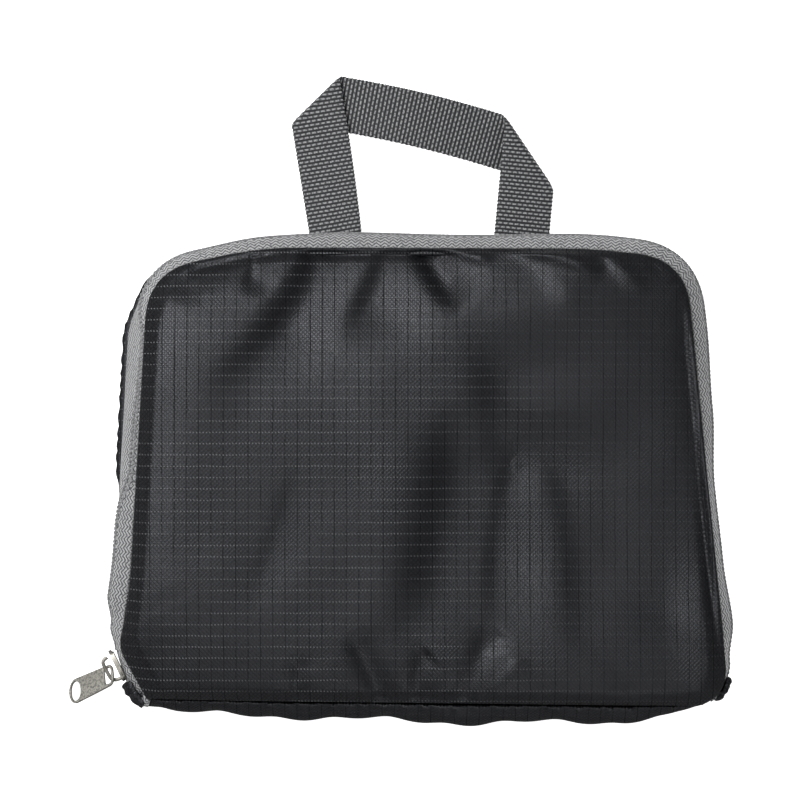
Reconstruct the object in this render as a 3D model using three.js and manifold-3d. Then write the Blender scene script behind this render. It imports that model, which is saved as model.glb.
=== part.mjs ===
import * as THREE from "three";
import { mergeVertices } from "three/addons/utils/BufferGeometryUtils.js";
import Module from "manifold-3d";

// A packable backpack, folded and zipped into its own pocket, lying on its back panel.
// Millimetres. +Y points to the carry handle, +Z out of the front panel.
// The origin is the middle of the flat patch that the pouch rests on.

// Pouch
const POUCH_WIDTH = 224;
const POUCH_HEIGHT = 176;
const BACK_SEAM_HEIGHT = 8;
const ZIP_BAND_RISE = 22;
const FRONT_CROWN = 11;
const FRONT_FULLNESS = 3;
const BACK_ROUNDING = 16;
const BACK_SPILL = 1.8;
const BAND_BELLY = 8;
const BACK_LEAN = 8;
const BASE_RIPPLE = 1;
const BASE_RIPPLE_COUNT = 3.5;
const BASE_RIPPLE_CREST = 0.46;
const CLOTH_WALL = 1.2;
const SEAM_GAP = 0.3;

// Zip. It runs between two places along the seam, which are shares of the way round from the lower left
// corner.
const TAPE_WALL = 1;
const CHAIN_WIDTH = 5.6;
const CHAIN_WALL = 2;
const ZIP_START = 0.006;
const ZIP_END = 0.704;
const END_TAB_LENGTH = 8;
const END_TAB_WALL = 1.2;
const END_TAB_GAP = 0.45;
const END_TAB_INSET = 0.9;

// Slider and its pull
const SLIDER_FROM_START = 11;
const SLIDER_LENGTH = 12;
const SLIDER_WIDTH = 9.6;
const SLIDER_PLATE = 1.1;
const SLIDER_CLEARANCE = 0.35;
const SLIDER_NECK_LENGTH = 3;
const SLIDER_NECK_WIDTH = 1.6;
const SLIDER_NECK_SETBACK = 0.4;
const SLIDER_TAPER = 2.4;
const SLIDER_FRONT_STEP = 1.2;
const SLIDER_REAR_STEP = 0.6;
const BRIDGE_WIDTH = 1.6;
const BRIDGE_THICKNESS = 1.3;
const BRIDGE_HEIGHT = 4.3;
const PULL_LENGTH = 27.4;
const PULL_WIDTH = 9.2;
const PULL_THICKNESS = 0.8;
const PULL_RIM = 1.1;
const PULL_EYE_CORNER = 2.6;
const EYE_NEAR_SLACK = 0.65;
const EYE_FAR_SLACK = 2.25;
const EYE_SIDE_SLACK = 2.05;
const EYE_HOLE_CORNER = 1.3;
const FINGER_HOLE_LENGTH = 6;
const FINGER_HOLE_CORNER = 2.9;
const PULL_STATION = 0.62;
const PULL_AZIMUTH = 207;
const PULL_ROLL = 28;
const STEEPEST_PULL = 85;
const SLOPE_HALVINGS = 30;
const FLOOR_CLEARANCE = 0.2;

// Carry handle, one length of webbing folded over twice
const WEBBING_WIDTH = 20;
const WEBBING_WALL = 1.3;
const CROSSBAR_LENGTH = 74;
const CROSSBAR_ANGLE = -13.5;
const CROSSBAR_BOW = 6;
const CROSSBAR_STRAIGHT_END = 12;
const HANDLE_OFFSET = 0.9;
const HANDLE_REACH = 41.4;
const CROSSBAR_LIFT = 2.2;
const FOLD_RADIUS = 1.5;
const LEFT_FOLD_ANGLE = 54.9;
const RIGHT_FOLD_ANGLE = 140.5;
const POST_LENGTH = 66;
const POST_RISE = 4.5;
const POST_RISE_LENGTH = 49.5;
const HANDLE_GAP = 0.5;

// The packed bag behind the cloth
const PACK_INSET = 7;
const PACK_CROWN_RINGS = [0.45, 0.8, 0.96];
const PACK_SIDE_RINGS = [
  { out: 1, up: 0.5 },
  { out: 0.98, up: 0.1 },
];
const PACK_FLOOR_RINGS = [0.86, 0.6];

// Corners of the front panel's seam, clockwise from the lower left, as shares of half the width and height.
// round is how far the corner's curve reaches along each side, as a share of half the height.
const PANEL_CORNERS = [
  { x: -0.874, y: -0.905, round: 0 },
  { x: -0.963, y: -0.7, round: 0.05 },
  { x: -0.927, y: -0.46, round: 0.14 },
  { x: -0.869, y: 0.836, round: 0.2 },
  { x: -0.504, y: 0.93, round: 0.15 },
  { x: 0.542, y: 0.926, round: 0.12 },
  { x: 0.846, y: 0.886, round: 0.2 },
  { x: 0.99, y: -0.934, round: 0.18 },
];

// The band round the pouch at places along the seam. belly is how far it stands out half way down, as a
// share of BAND_BELLY, lean how far the back seam lies outside the front one, as a share of BACK_LEAN,
// rise the height of the front seam above the back one, as a share of ZIP_BAND_RISE, and spill how far
// the back panel rolls out past its own seam, as a share of BACK_SPILL.
const BAND_SECTIONS = [
  { at: 0.0, belly: 0.46, lean: 0.1, rise: 0.86, spill: 0.2 },
  { at: 0.008, belly: 0.62, lean: 0.14, rise: 0.88, spill: 0.2 },
  { at: 0.03, belly: 0.36, lean: 0.2, rise: 0.92, spill: 0.2 },
  { at: 0.039, belly: 0.64, lean: 0.2, rise: 0.95, spill: 0.2 },
  { at: 0.055, belly: 1.0, lean: 0.3, rise: 1.0, spill: 0.2 },
  { at: 0.09, belly: 0.93, lean: 0.6, rise: 1.0, spill: 0.4 },
  { at: 0.125, belly: 0.5, lean: 0.98, rise: 1.0, spill: 1.0 },
  { at: 0.188, belly: 0.24, lean: 1.0, rise: 1.0, spill: 1.0 },
  { at: 0.21, belly: 0.5, lean: 0.62, rise: 0.95, spill: 0.6 },
  { at: 0.235, belly: 0.56, lean: 0.2, rise: 0.92, spill: 0.3 },
  { at: 0.28, belly: 0.64, lean: 0.1, rise: 1.0, spill: 0.3 },
  { at: 0.32, belly: 0.76, lean: 0.1, rise: 1.0, spill: 0.3 },
  { at: 0.38, belly: 0.66, lean: 0.1, rise: 1.0, spill: 0.3 },
  { at: 0.45, belly: 0.74, lean: 0.1, rise: 0.98, spill: 0.3 },
  { at: 0.48, belly: 0.72, lean: 0.1, rise: 0.92, spill: 0.3 },
  { at: 0.52, belly: 0.78, lean: 0.1, rise: 0.98, spill: 0.3 },
  { at: 0.56, belly: 0.66, lean: 0.05, rise: 1.0, spill: 0.3 },
  { at: 0.6, belly: 0.4, lean: 0.05, rise: 1.0, spill: 0.3 },
  { at: 0.64, belly: 0.44, lean: 0.05, rise: 1.0, spill: 0.3 },
  { at: 0.67, belly: 0.6, lean: 0.1, rise: 0.98, spill: 0.3 },
  { at: 0.69, belly: 0.3, lean: 0.05, rise: 0.9, spill: 0.2 },
  { at: 0.705, belly: 0.15, lean: 0.05, rise: 0.86, spill: 0.2 },
  { at: 0.718, belly: 0.12, lean: 0.05, rise: 0.86, spill: 0.2 },
  { at: 0.736, belly: 0.58, lean: 0.05, rise: 0.9, spill: 0.3 },
  { at: 0.76, belly: 0.9, lean: 0.1, rise: 1.0, spill: 0.3 },
  { at: 0.84, belly: 0.96, lean: 0.1, rise: 1.0, spill: 0.3 },
  { at: 0.93, belly: 0.82, lean: 0.1, rise: 1.0, spill: 0.3 },
  { at: 0.985, belly: 0.62, lean: 0.1, rise: 0.9, spill: 0.3 },
];

// Folds of the front panel. x and y are the fold's middle, as shares of half the width and height, along
// and across its half length and half width as shares of half the height, turn the way it runs in degrees
// from +X, and depth its height in shares of FRONT_CROWN, below zero for a valley.
const FRONT_FOLDS = [
  { x: 0.18, y: -0.28, along: 0.62, across: 0.16, turn: 86, depth: -0.26 },
  { x: -0.1, y: -0.18, along: 0.55, across: 0.15, turn: 82, depth: 0.12 },
  { x: 0.46, y: -0.2, along: 0.6, across: 0.17, turn: 97, depth: 0.14 },
  { x: -0.5, y: -0.2, along: 0.42, across: 0.09, turn: 66, depth: -0.1 },
  { x: -0.5, y: 0.64, along: 0.36, across: 0.07, turn: 56, depth: -0.2 },
  { x: -0.55, y: 0.82, along: 0.12, across: 0.05, turn: 66, depth: -0.14 },
  { x: -0.36, y: 0.74, along: 0.26, across: 0.08, turn: 62, depth: 0.12 },
  { x: -0.2, y: 0.74, along: 0.26, across: 0.06, turn: 66, depth: -0.16 },
  { x: 0.06, y: 0.78, along: 0.24, across: 0.055, turn: 116, depth: -0.2 },
  { x: 0.16, y: 0.76, along: 0.24, across: 0.065, turn: 112, depth: 0.14 },
  { x: 0.28, y: 0.84, along: 0.12, across: 0.05, turn: 120, depth: -0.12 },
  { x: 0.44, y: 0.74, along: 0.26, across: 0.06, turn: 122, depth: 0.14 },
  { x: 0.5, y: 0.84, along: 0.14, across: 0.05, turn: 150, depth: -0.14 },
  { x: 0.68, y: 0.82, along: 0.14, across: 0.05, turn: 132, depth: 0.12 },
  { x: -0.18, y: -0.82, along: 0.14, across: 0.06, turn: 80, depth: -0.1 },
  { x: 0.0, y: -0.8, along: 0.16, across: 0.07, turn: 62, depth: -0.12 },
  { x: 0.2, y: -0.78, along: 0.18, across: 0.07, turn: 50, depth: 0.12 },
  { x: 0.9, y: -0.5, along: 0.16, across: 0.05, turn: 20, depth: -0.1 },
];

// The slider's bridge, from its free end to its root. along is from the slider's middle to its front, as
// a share of half its length, and height is the bar's centre above the plate, as a share of
// BRIDGE_HEIGHT. The pull hangs on the straight run between the third place and the fourth.
const BRIDGE_LINE = [
  { along: -0.7, height: 0.31 },
  { along: -0.55, height: 0.8 },
  { along: 0.03, height: 0.85 },
  { along: 0.53, height: 0.79 },
  { along: 0.75, height: 0.45 },
  { along: 0.8, height: -0.13 },
];

// How finely the faceted pieces are stepped
const PANEL_SIDES = 104;
const PANEL_RINGS = [0.26, 0.5, 0.68, 0.79, 0.87, 0.93, 0.972, 1];
const BACK_SIDES = 80;
const BACK_RINGS = [0, 0.3, 0.55, 0.75, 0.89, 1];
const ZIP_STEPS = 96;
const TAPE_ROWS = 2;
const BASE_STEPS = 48;
const BASE_ROWS = 5;
const PACK_SIDES = 40;
const FOLD_STEPS = 8;
const STRAP_ROWS = 2;
const ROOM_ROWS = 5;
const SEAM_LOOK = 4;
const PANEL_LOOK = 0.004;
const STRAP_LOOK = 0.05;
const EDGE_BLEND = 0.96;

const CLOTH = new THREE.MeshStandardMaterial({ color: 0x2b2c2f, roughness: 0.5, metalness: 0 });
const TAPE = new THREE.MeshStandardMaterial({ color: 0x8c8d90, roughness: 0.85, metalness: 0 });
const COIL = new THREE.MeshStandardMaterial({ color: 0x9a9b9e, roughness: 0.6, metalness: 0 });
const WEBBING = new THREE.MeshStandardMaterial({ color: 0x4a4b4e, roughness: 0.8, metalness: 0 });
const METAL = new THREE.MeshStandardMaterial({ color: 0xb9b6ae, roughness: 0.3, metalness: 1 });

const wasm = await Module();
wasm.setup();

const radians = THREE.MathUtils.degToRad;
const smoothstep = THREE.MathUtils.smoothstep;
const wrap = (share) => ((share % 1) + 1) % 1;

// Helpers that turn grids of points into closed bodies

function geometryOf(points, triangles) {
  const geometry = new THREE.BufferGeometry();
  const numbers = points.flatMap((p) => [p.x, p.y, p.z]);
  geometry.setAttribute("position", new THREE.Float32BufferAttribute(numbers, 3));
  geometry.setIndex(triangles.flat());
  return geometry;
}

function solidOf(geometry) {
  const bare = geometry.clone();
  bare.deleteAttribute("normal");
  bare.deleteAttribute("uv");
  const merged = mergeVertices(bare, 1e-4);
  return new wasm.Manifold(
    new wasm.Mesh({
      numProp: 3,
      vertProperties: new Float32Array(merged.attributes.position.array),
      triVerts: new Uint32Array(merged.index.array),
    }),
  );
}

function geometryOfSolid(solid) {
  const mesh = solid.getMesh();
  const geometry = new THREE.BufferGeometry();
  geometry.setAttribute("position", new THREE.BufferAttribute(mesh.vertProperties, 3));
  geometry.setIndex(new THREE.BufferAttribute(mesh.triVerts, 1));
  return geometry;
}

// A sheet with two faces: outer and inner are grids of points, [step][row], seen from outside with the
// steps running to the right and the rows down.
function sheetBody(outer, inner) {
  const steps = outer.length;
  const rows = outer[0].length;
  const points = [...outer.flat(), ...inner.flat()];
  const front = (i, j) => i * rows + j;
  const back = (i, j) => steps * rows + i * rows + j;
  const triangles = [];
  const quad = (a, b, c, d) => triangles.push([a, b, c], [a, c, d]);
  for (let i = 0; i < steps - 1; i++) {
    for (let j = 0; j < rows - 1; j++) {
      quad(front(i, j), front(i, j + 1), front(i + 1, j + 1), front(i + 1, j));
      quad(back(i, j), back(i + 1, j), back(i + 1, j + 1), back(i, j + 1));
    }
    quad(front(i, 0), front(i + 1, 0), back(i + 1, 0), back(i, 0));
    quad(front(i, rows - 1), back(i, rows - 1), back(i + 1, rows - 1), front(i + 1, rows - 1));
  }
  for (let j = 0; j < rows - 1; j++) {
    const last = steps - 1;
    quad(front(0, j), back(0, j), back(0, j + 1), front(0, j + 1));
    quad(front(last, j), front(last, j + 1), back(last, j + 1), back(last, j));
  }
  return geometryOf(points, triangles);
}

// A closed body of rings of points, from the first pole to the last, each anticlockwise seen from the
// first.
function ringBody(firstPole, rings, lastPole) {
  const sides = rings[0].length;
  const points = [firstPole, ...rings.flat(), lastPole];
  const at = (ring, i) => 1 + ring * sides + (i % sides);
  const lastIndex = points.length - 1;
  const triangles = [];
  for (let i = 0; i < sides; i++) {
    triangles.push([0, at(0, i), at(0, i + 1)]);
    for (let k = 0; k < rings.length - 1; k++) {
      triangles.push([at(k, i), at(k + 1, i), at(k + 1, i + 1)]);
      triangles.push([at(k, i), at(k + 1, i + 1), at(k, i + 1)]);
    }
    triangles.push([at(rings.length - 1, i), lastIndex, at(rings.length - 1, i + 1)]);
  }
  return geometryOf(points, triangles);
}

// The seam line that the whole pouch is built from

function panelSeamPath() {
  const corners = PANEL_CORNERS.map((c) => ({
    point: new THREE.Vector2((c.x * POUCH_WIDTH) / 2, (c.y * POUCH_HEIGHT) / 2),
    reach: (c.round * POUCH_HEIGHT) / 2,
  }));
  const path = new THREE.Path();
  path.moveTo(corners[0].point.x, corners[0].point.y);
  for (let i = 1; i < corners.length; i++) {
    const { point, reach } = corners[i];
    const before = corners[i - 1].point;
    const after = corners[(i + 1) % corners.length].point;
    const start = before.clone().sub(point).setLength(reach).add(point);
    const end = after.clone().sub(point).setLength(reach).add(point);
    path.lineTo(start.x, start.y);
    path.quadraticCurveTo(point.x, point.y, end.x, end.y);
  }
  path.lineTo(corners[0].point.x, corners[0].point.y);
  return path;
}

const seamPath = panelSeamPath();
const seamLength = seamPath.getLength();

// The seam's point and its outward direction, at a share of the way round.
function seamAt(share) {
  const reach = SEAM_LOOK / seamLength;
  const point = seamPath.getPointAt(wrap(share));
  const before = seamPath.getPointAt(wrap(share - reach));
  const after = seamPath.getPointAt(wrap(share + reach));
  const along = after.sub(before).normalize();
  return { point, outward: new THREE.Vector2(-along.y, along.x) };
}

// One column of BAND_SECTIONS at a share of the way round, eased from row to row.
function bandValue(column, share) {
  const at = wrap(share);
  const count = BAND_SECTIONS.length;
  let after = BAND_SECTIONS.findIndex((row) => row.at > at);
  if (after < 0) after = count;
  const low = BAND_SECTIONS[after - 1];
  const high = BAND_SECTIONS[after % count];
  const highAt = after === count ? 1 : high.at;
  const part = smoothstep((at - low.at) / (highAt - low.at), 0, 1);
  return low[column] + (high[column] - low[column]) * part;
}

const frontSeamHeight = (share) => BACK_SEAM_HEIGHT + ZIP_BAND_RISE * bandValue("rise", share);

// The bottom of the pouch has a cloth band, which buckles between its two seams.
function baseRipple(share) {
  const along = (wrap(share) - ZIP_END) / (1 - ZIP_END);
  if (along < 0) return 0;
  const turn = 2 * Math.PI * BASE_RIPPLE_COUNT * (along - BASE_RIPPLE_CREST);
  return BASE_RIPPLE * Math.sin(Math.PI * along) * Math.cos(turn);
}

// The band's section: a curve from the front seam to the back seam in the plane of outward and up.
function bandSection(share) {
  const top = frontSeamHeight(share);
  const lean = BACK_LEAN * bandValue("lean", share);
  const belly = BAND_BELLY * bandValue("belly", share) + baseRipple(share);
  return new THREE.QuadraticBezierCurve(
    new THREE.Vector2(0, top),
    new THREE.Vector2(2 * belly - lean / 2, (top + BACK_SEAM_HEIGHT) / 2),
    new THREE.Vector2(lean, BACK_SEAM_HEIGHT),
  );
}

// A point of the band, part of the way down from the front seam and inset from its outer face.
function bandPoint(share, part, inset) {
  const { point, outward } = seamAt(share);
  const section = bandSection(share);
  const place = section.getPoint(part);
  const down = section.getTangent(part);
  const out = place.x + down.y * inset;
  const lowest = Math.min(place.y, BACK_SEAM_HEIGHT + SEAM_GAP);
  const up = Math.max(place.y - down.x * inset, lowest);
  return new THREE.Vector3(point.x + outward.x * out, point.y + outward.y * out, up);
}

// The share of the band's section that a length in millimetres takes.
const bandShare = (share, length) => length / bandSection(share).getLength();

// A strip of the band between two distances from its front seam, given as functions of the place.
function bandStrip({ from, to, steps, rows, fromPart, toPart, inset, wall }) {
  const grid = (depth) =>
    Array.from({ length: steps + 1 }, (_, i) => {
      const share = to - ((to - from) * i) / steps;
      return Array.from({ length: rows + 1 }, (__, j) => {
        const part = fromPart(share) + ((toPart(share) - fromPart(share)) * j) / rows;
        return bandPoint(share, part, depth);
      });
    });
  return sheetBody(grid(inset), grid(inset + wall));
}

// Front panel

function foldHeight(x, y) {
  const half = POUCH_HEIGHT / 2;
  let height = 0;
  for (const fold of FRONT_FOLDS) {
    const dx = x - (fold.x * POUCH_WIDTH) / 2;
    const dy = y - fold.y * half;
    const turn = radians(fold.turn);
    const along = (dx * Math.cos(turn) + dy * Math.sin(turn)) / (fold.along * half);
    const across = (dy * Math.cos(turn) - dx * Math.sin(turn)) / (fold.across * half);
    height += fold.depth * FRONT_CROWN * Math.exp(-(along * along + across * across));
  }
  return height;
}

const DEEPEST_FOLD = Math.max(...FRONT_FOLDS.map((fold) => -fold.depth)) * FRONT_CROWN;

function crownHeight(share, r) {
  const seamHeight = frontSeamHeight(share);
  const middleHeight = BACK_SEAM_HEIGHT + ZIP_BAND_RISE;
  const base = middleHeight + (seamHeight - middleHeight) * r * r;
  return base + FRONT_CROWN * Math.sqrt(1 - r ** FRONT_FULLNESS);
}

function frontPoint(share, r) {
  const { point } = seamAt(share);
  const x = point.x * r;
  const y = point.y * r;
  const flatAtSeam = 1 - smoothstep(r, EDGE_BLEND, 1);
  return new THREE.Vector3(x, y, crownHeight(share, r) + foldHeight(x, y) * flatAtSeam);
}

// Back panel: flat where it rests, then round up to its seam, rolling out past it by its spill.
function backPoint(share, r) {
  const { point, outward } = seamAt(share);
  const lean = BACK_LEAN * bandValue("lean", share);
  const spill = BACK_SPILL * bandValue("spill", share);
  const edge = point.clone().addScaledVector(outward, lean);
  const rounding = BACK_ROUNDING / edge.length();
  const part = Math.max(0, (r - 1 + rounding) / rounding);
  if (part === 0) return new THREE.Vector3(edge.x * r, edge.y * r, 0);
  const reach = BACK_ROUNDING + spill;
  const endTurn = Math.PI - Math.asin(BACK_ROUNDING / reach);
  const turn = endTurn * part;
  const middleHeight = BACK_SEAM_HEIGHT / (1 - Math.cos(endTurn));
  const out = 1 + (reach * Math.sin(turn) - BACK_ROUNDING) / edge.length();
  return new THREE.Vector3(edge.x * out, edge.y * out, middleHeight * (1 - Math.cos(turn)));
}

// A point moved square to a surface of rings, where side is +1 for a surface seen from above.
function offsetPoint(surface, share, r, distance, side) {
  const place = surface(share, r);
  if (r === 1) {
    const { outward } = seamAt(share);
    return new THREE.Vector3(place.x - outward.x * distance, place.y - outward.y * distance, place.z);
  }
  const radial = surface(share, r + PANEL_LOOK).sub(surface(share, r - PANEL_LOOK));
  const round = surface(share - PANEL_LOOK, r).sub(surface(share + PANEL_LOOK, r));
  const normal = radial.cross(round).normalize();
  return place.addScaledVector(normal, -distance * side);
}

// A round wall between a surface of rings and the same surface moved inwards. Rings are shares of the way
// out.
function panelBody(surface, sides, rings, wall, side) {
  const ringOf = (r, distance) =>
    Array.from({ length: sides }, (_, i) => offsetPoint(surface, -i / sides, r, distance, side));
  const near = rings.map((r) => ringOf(r, 0));
  const far = rings.map((r) => ringOf(r, wall)).reverse();
  const nearPole = surface(0, 0);
  const farPole = nearPole.clone().setZ(nearPole.z - wall * side);
  const body = [...near, ...far];
  if (side < 0) return ringBody(farPole, body.reverse(), nearPole);
  return ringBody(nearPole, body, farPole);
}

const frontPanel = panelBody(frontPoint, PANEL_SIDES, PANEL_RINGS, CLOTH_WALL, 1);

function backPanelGeometry() {
  const flat = 1 - (2 * BACK_ROUNDING) / POUCH_HEIGHT;
  const rings = BACK_RINGS.map((part) => flat + (1 - flat) * part);
  return panelBody(backPoint, BACK_SIDES, rings, CLOTH_WALL, -1);
}

// Zip: two tapes, the chain between them, and the cloth band that closes the bottom

const chainEdge = (share, side) => 0.5 + side * bandShare(share, CHAIN_WIDTH / 2);
const seamEdge = (share) => bandShare(share, SEAM_GAP);

const tapeShape = {
  from: ZIP_START,
  to: ZIP_END,
  steps: ZIP_STEPS,
  rows: TAPE_ROWS,
  inset: (CHAIN_WALL - TAPE_WALL) / 2,
  wall: TAPE_WALL,
};

const frontTape = bandStrip({
  ...tapeShape,
  fromPart: seamEdge,
  toPart: (share) => chainEdge(share, -1) - seamEdge(share),
});

const backTape = bandStrip({
  ...tapeShape,
  fromPart: (share) => chainEdge(share, 1) + seamEdge(share),
  toPart: (share) => 1 - seamEdge(share),
});

const zipChain = bandStrip({
  from: ZIP_START,
  to: ZIP_END,
  steps: ZIP_STEPS,
  rows: 1,
  fromPart: (share) => chainEdge(share, -1),
  toPart: (share) => chainEdge(share, 1),
  inset: 0,
  wall: CHAIN_WALL,
});

const baseBand = bandStrip({
  from: ZIP_END + SEAM_GAP / seamLength,
  to: 1 + ZIP_START - SEAM_GAP / seamLength,
  steps: BASE_STEPS,
  rows: BASE_ROWS,
  fromPart: seamEdge,
  toPart: (share) => 1 - seamEdge(share),
  inset: 0,
  wall: CLOTH_WALL,
});

// A tab of cloth sewn over one end of the zip, standing just clear of what it covers.
function endTab(from, to) {
  const lift = END_TAB_GAP + END_TAB_WALL;
  return bandStrip({
    from,
    to,
    steps: 4,
    rows: 6,
    fromPart: (share) => bandShare(share, END_TAB_INSET),
    toPart: (share) => 1 - bandShare(share, END_TAB_INSET),
    inset: -lift,
    wall: END_TAB_WALL,
  });
}

const tabShare = END_TAB_LENGTH / seamLength;
const leftEndTab = endTab(ZIP_START - tabShare / 2, ZIP_START + tabShare / 2);
const rightEndTab = endTab(ZIP_END - tabShare / 2, ZIP_END + tabShare / 2);

// Packed bag: one soft body under the cloth, below its deepest fold.
function packedBag() {
  const ringAt = (r, heightOf) =>
    Array.from({ length: PACK_SIDES }, (_, i) => {
      const share = -i / PACK_SIDES;
      const { point } = seamAt(share);
      const reach = (1 - PACK_INSET / point.length()) * r;
      const place = point.clone().multiplyScalar(reach);
      return new THREE.Vector3(place.x, place.y, heightOf(share, reach));
    });
  const under = CLOTH_WALL + SEAM_GAP;
  const over = CLOTH_WALL + DEEPEST_FOLD + SEAM_GAP;
  const floorOf = () => under;
  const bandOf = (part) => (share) => BACK_SEAM_HEIGHT + (frontSeamHeight(share) - BACK_SEAM_HEIGHT) * part;
  const crownOf = (share, reach) => crownHeight(share, reach) - over;
  const rings = [
    ...PACK_CROWN_RINGS.map((r) => ringAt(r, crownOf)),
    ...PACK_SIDE_RINGS.map(({ out, up }) => ringAt(out, bandOf(up))),
    ...PACK_FLOOR_RINGS.map((r) => ringAt(r, floorOf)),
  ];
  const low = new THREE.Vector3(0, 0, under);
  const high = new THREE.Vector3(0, 0, crownHeight(0, 0) - over);
  return ringBody(high, rings, low);
}

// Slider, in its own frame: +X the way it closes the zip, +Z out of the band, centred in the chain

const channelHalf = CHAIN_WALL / 2 + SLIDER_CLEARANCE;
const slotHalf = TAPE_WALL / 2 + SLIDER_CLEARANCE;
const plateTop = channelHalf + SLIDER_PLATE;
const neckEnd = SLIDER_LENGTH / 2 - SLIDER_NECK_SETBACK;

function boxSolid(low, high, grow) {
  const size = new THREE.Vector3().subVectors(high, low).addScalar(2 * grow);
  const middle = new THREE.Vector3().addVectors(low, high).multiplyScalar(0.5);
  return solidOf(new THREE.BoxGeometry(size.x, size.y, size.z).translate(middle.x, middle.y, middle.z));
}

// A plate outline whose leading end tapers, as the wings of a slider do.
function plateSolid(low, high, grow) {
  const halfLength = SLIDER_LENGTH / 2 + grow;
  const halfWidth = SLIDER_WIDTH / 2 + grow;
  const shape = new THREE.Shape([
    new THREE.Vector2(halfLength, -halfWidth + SLIDER_FRONT_STEP),
    new THREE.Vector2(halfLength, halfWidth - SLIDER_FRONT_STEP),
    new THREE.Vector2(halfLength - SLIDER_TAPER, halfWidth),
    new THREE.Vector2(-halfLength + SLIDER_TAPER, halfWidth - SLIDER_REAR_STEP),
    new THREE.Vector2(-halfLength, halfWidth - SLIDER_TAPER),
    new THREE.Vector2(-halfLength, -halfWidth + SLIDER_TAPER),
    new THREE.Vector2(-halfLength + SLIDER_TAPER, -halfWidth + SLIDER_REAR_STEP),
    new THREE.Vector2(halfLength - SLIDER_TAPER, -halfWidth),
  ]);
  const options = { depth: high - low + 2 * grow, bevelEnabled: false };
  return solidOf(new THREE.ExtrudeGeometry(shape, options).translate(0, 0, low - grow));
}

function sliderShell(grow) {
  const channelSide = CHAIN_WIDTH / 2 + SLIDER_CLEARANCE;
  let shell = plateSolid(-plateTop, -slotHalf, grow).add(plateSolid(slotHalf, plateTop, grow));
  const channel = boxSolid(
    new THREE.Vector3(-SLIDER_LENGTH, -channelSide, -channelHalf),
    new THREE.Vector3(SLIDER_LENGTH, channelSide, channelHalf),
    -grow,
  );
  shell = shell.subtract(channel);
  const neck = boxSolid(
    new THREE.Vector3(neckEnd - SLIDER_NECK_LENGTH, -SLIDER_NECK_WIDTH / 2, -channelHalf - SLIDER_PLATE / 2),
    new THREE.Vector3(neckEnd, SLIDER_NECK_WIDTH / 2, channelHalf + SLIDER_PLATE / 2),
    grow,
  );
  return shell.add(neck);
}

const bridgePoints = BRIDGE_LINE.map(
  ({ along, height }) => new THREE.Vector3((along * SLIDER_LENGTH) / 2, 0, plateTop + height * BRIDGE_HEIGHT),
);

// A bar with eight-sided section, swept along the bridge's centre line.
function bridgeSolid() {
  const line = bridgePoints;
  const last = line.length - 1;
  const ring = (index) => {
    const before = line[Math.max(index - 1, 0)];
    const after = line[Math.min(index + 1, last)];
    const along = new THREE.Vector3().subVectors(after, before).normalize();
    const side = new THREE.Vector3(0, 1, 0);
    const up = new THREE.Vector3().crossVectors(side, along);
    const ahead = new THREE.Vector3().subVectors(after, line[index]).normalize();
    const into = index === 0 || index === last ? 1 : along.dot(ahead);
    return Array.from({ length: 8 }, (_, i) => {
      const angle = (Math.PI * (i + 0.5)) / 4;
      return line[index]
        .clone()
        .addScaledVector(side, (Math.cos(angle) * BRIDGE_WIDTH) / 2)
        .addScaledVector(up, (Math.sin(angle) * BRIDGE_THICKNESS) / 2 / into);
    });
  };
  return solidOf(ringBody(line[0], line.map((_, i) => ring(i)), line[last]));
}

// A frame on the zip's centre line: X the way the slider closes, Z out of the band.
function chainFrame(share) {
  const reach = SLIDER_LENGTH / 4 / seamLength;
  const middle = bandPoint(share, 0.5, CHAIN_WALL / 2);
  const ahead = bandPoint(share - reach, 0.5, CHAIN_WALL / 2);
  const behind = bandPoint(share + reach, 0.5, CHAIN_WALL / 2);
  const out = bandPoint(share, 0.5, 0).sub(middle).normalize();
  const closing = ahead.sub(behind);
  const along = closing.addScaledVector(out, -closing.dot(out)).normalize();
  const side = new THREE.Vector3().crossVectors(out, along);
  return new THREE.Matrix4().makeBasis(along, side, out).setPosition(middle);
}

const sliderFrame = chainFrame(ZIP_START + SLIDER_FROM_START / seamLength);

// The slot that the slider's neck runs in, from the neck to the closed end of the zip.
function neckSlot() {
  const half = SLIDER_NECK_WIDTH / 2;
  const slot = boxSolid(
    new THREE.Vector3(neckEnd - SLIDER_NECK_LENGTH, -half, -CHAIN_WALL),
    new THREE.Vector3(neckEnd + SLIDER_FROM_START, half, CHAIN_WALL),
    SLIDER_CLEARANCE,
  );
  return slot.transform(sliderFrame.elements);
}

const sliderRoom = sliderShell(SLIDER_CLEARANCE).transform(sliderFrame.elements);
const slider = sliderShell(0).add(bridgeSolid());

// Pull: a flat tab with an eye round the bridge and a finger hole. +X runs to its far end, from the bridge.

const eyeNear = BRIDGE_THICKNESS / 2 + EYE_NEAR_SLACK;
const eyeHole = {
  along: BRIDGE_THICKNESS + EYE_NEAR_SLACK + EYE_FAR_SLACK,
  across: BRIDGE_WIDTH + 2 * EYE_SIDE_SLACK,
  corner: EYE_HOLE_CORNER,
};
const fingerHole = {
  along: FINGER_HOLE_LENGTH,
  across: PULL_WIDTH - 2 * PULL_RIM,
  corner: FINGER_HOLE_CORNER,
};
const pullNear = eyeNear + PULL_RIM;
const eyeEndWidth = eyeHole.across + 2 * PULL_RIM;

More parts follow.
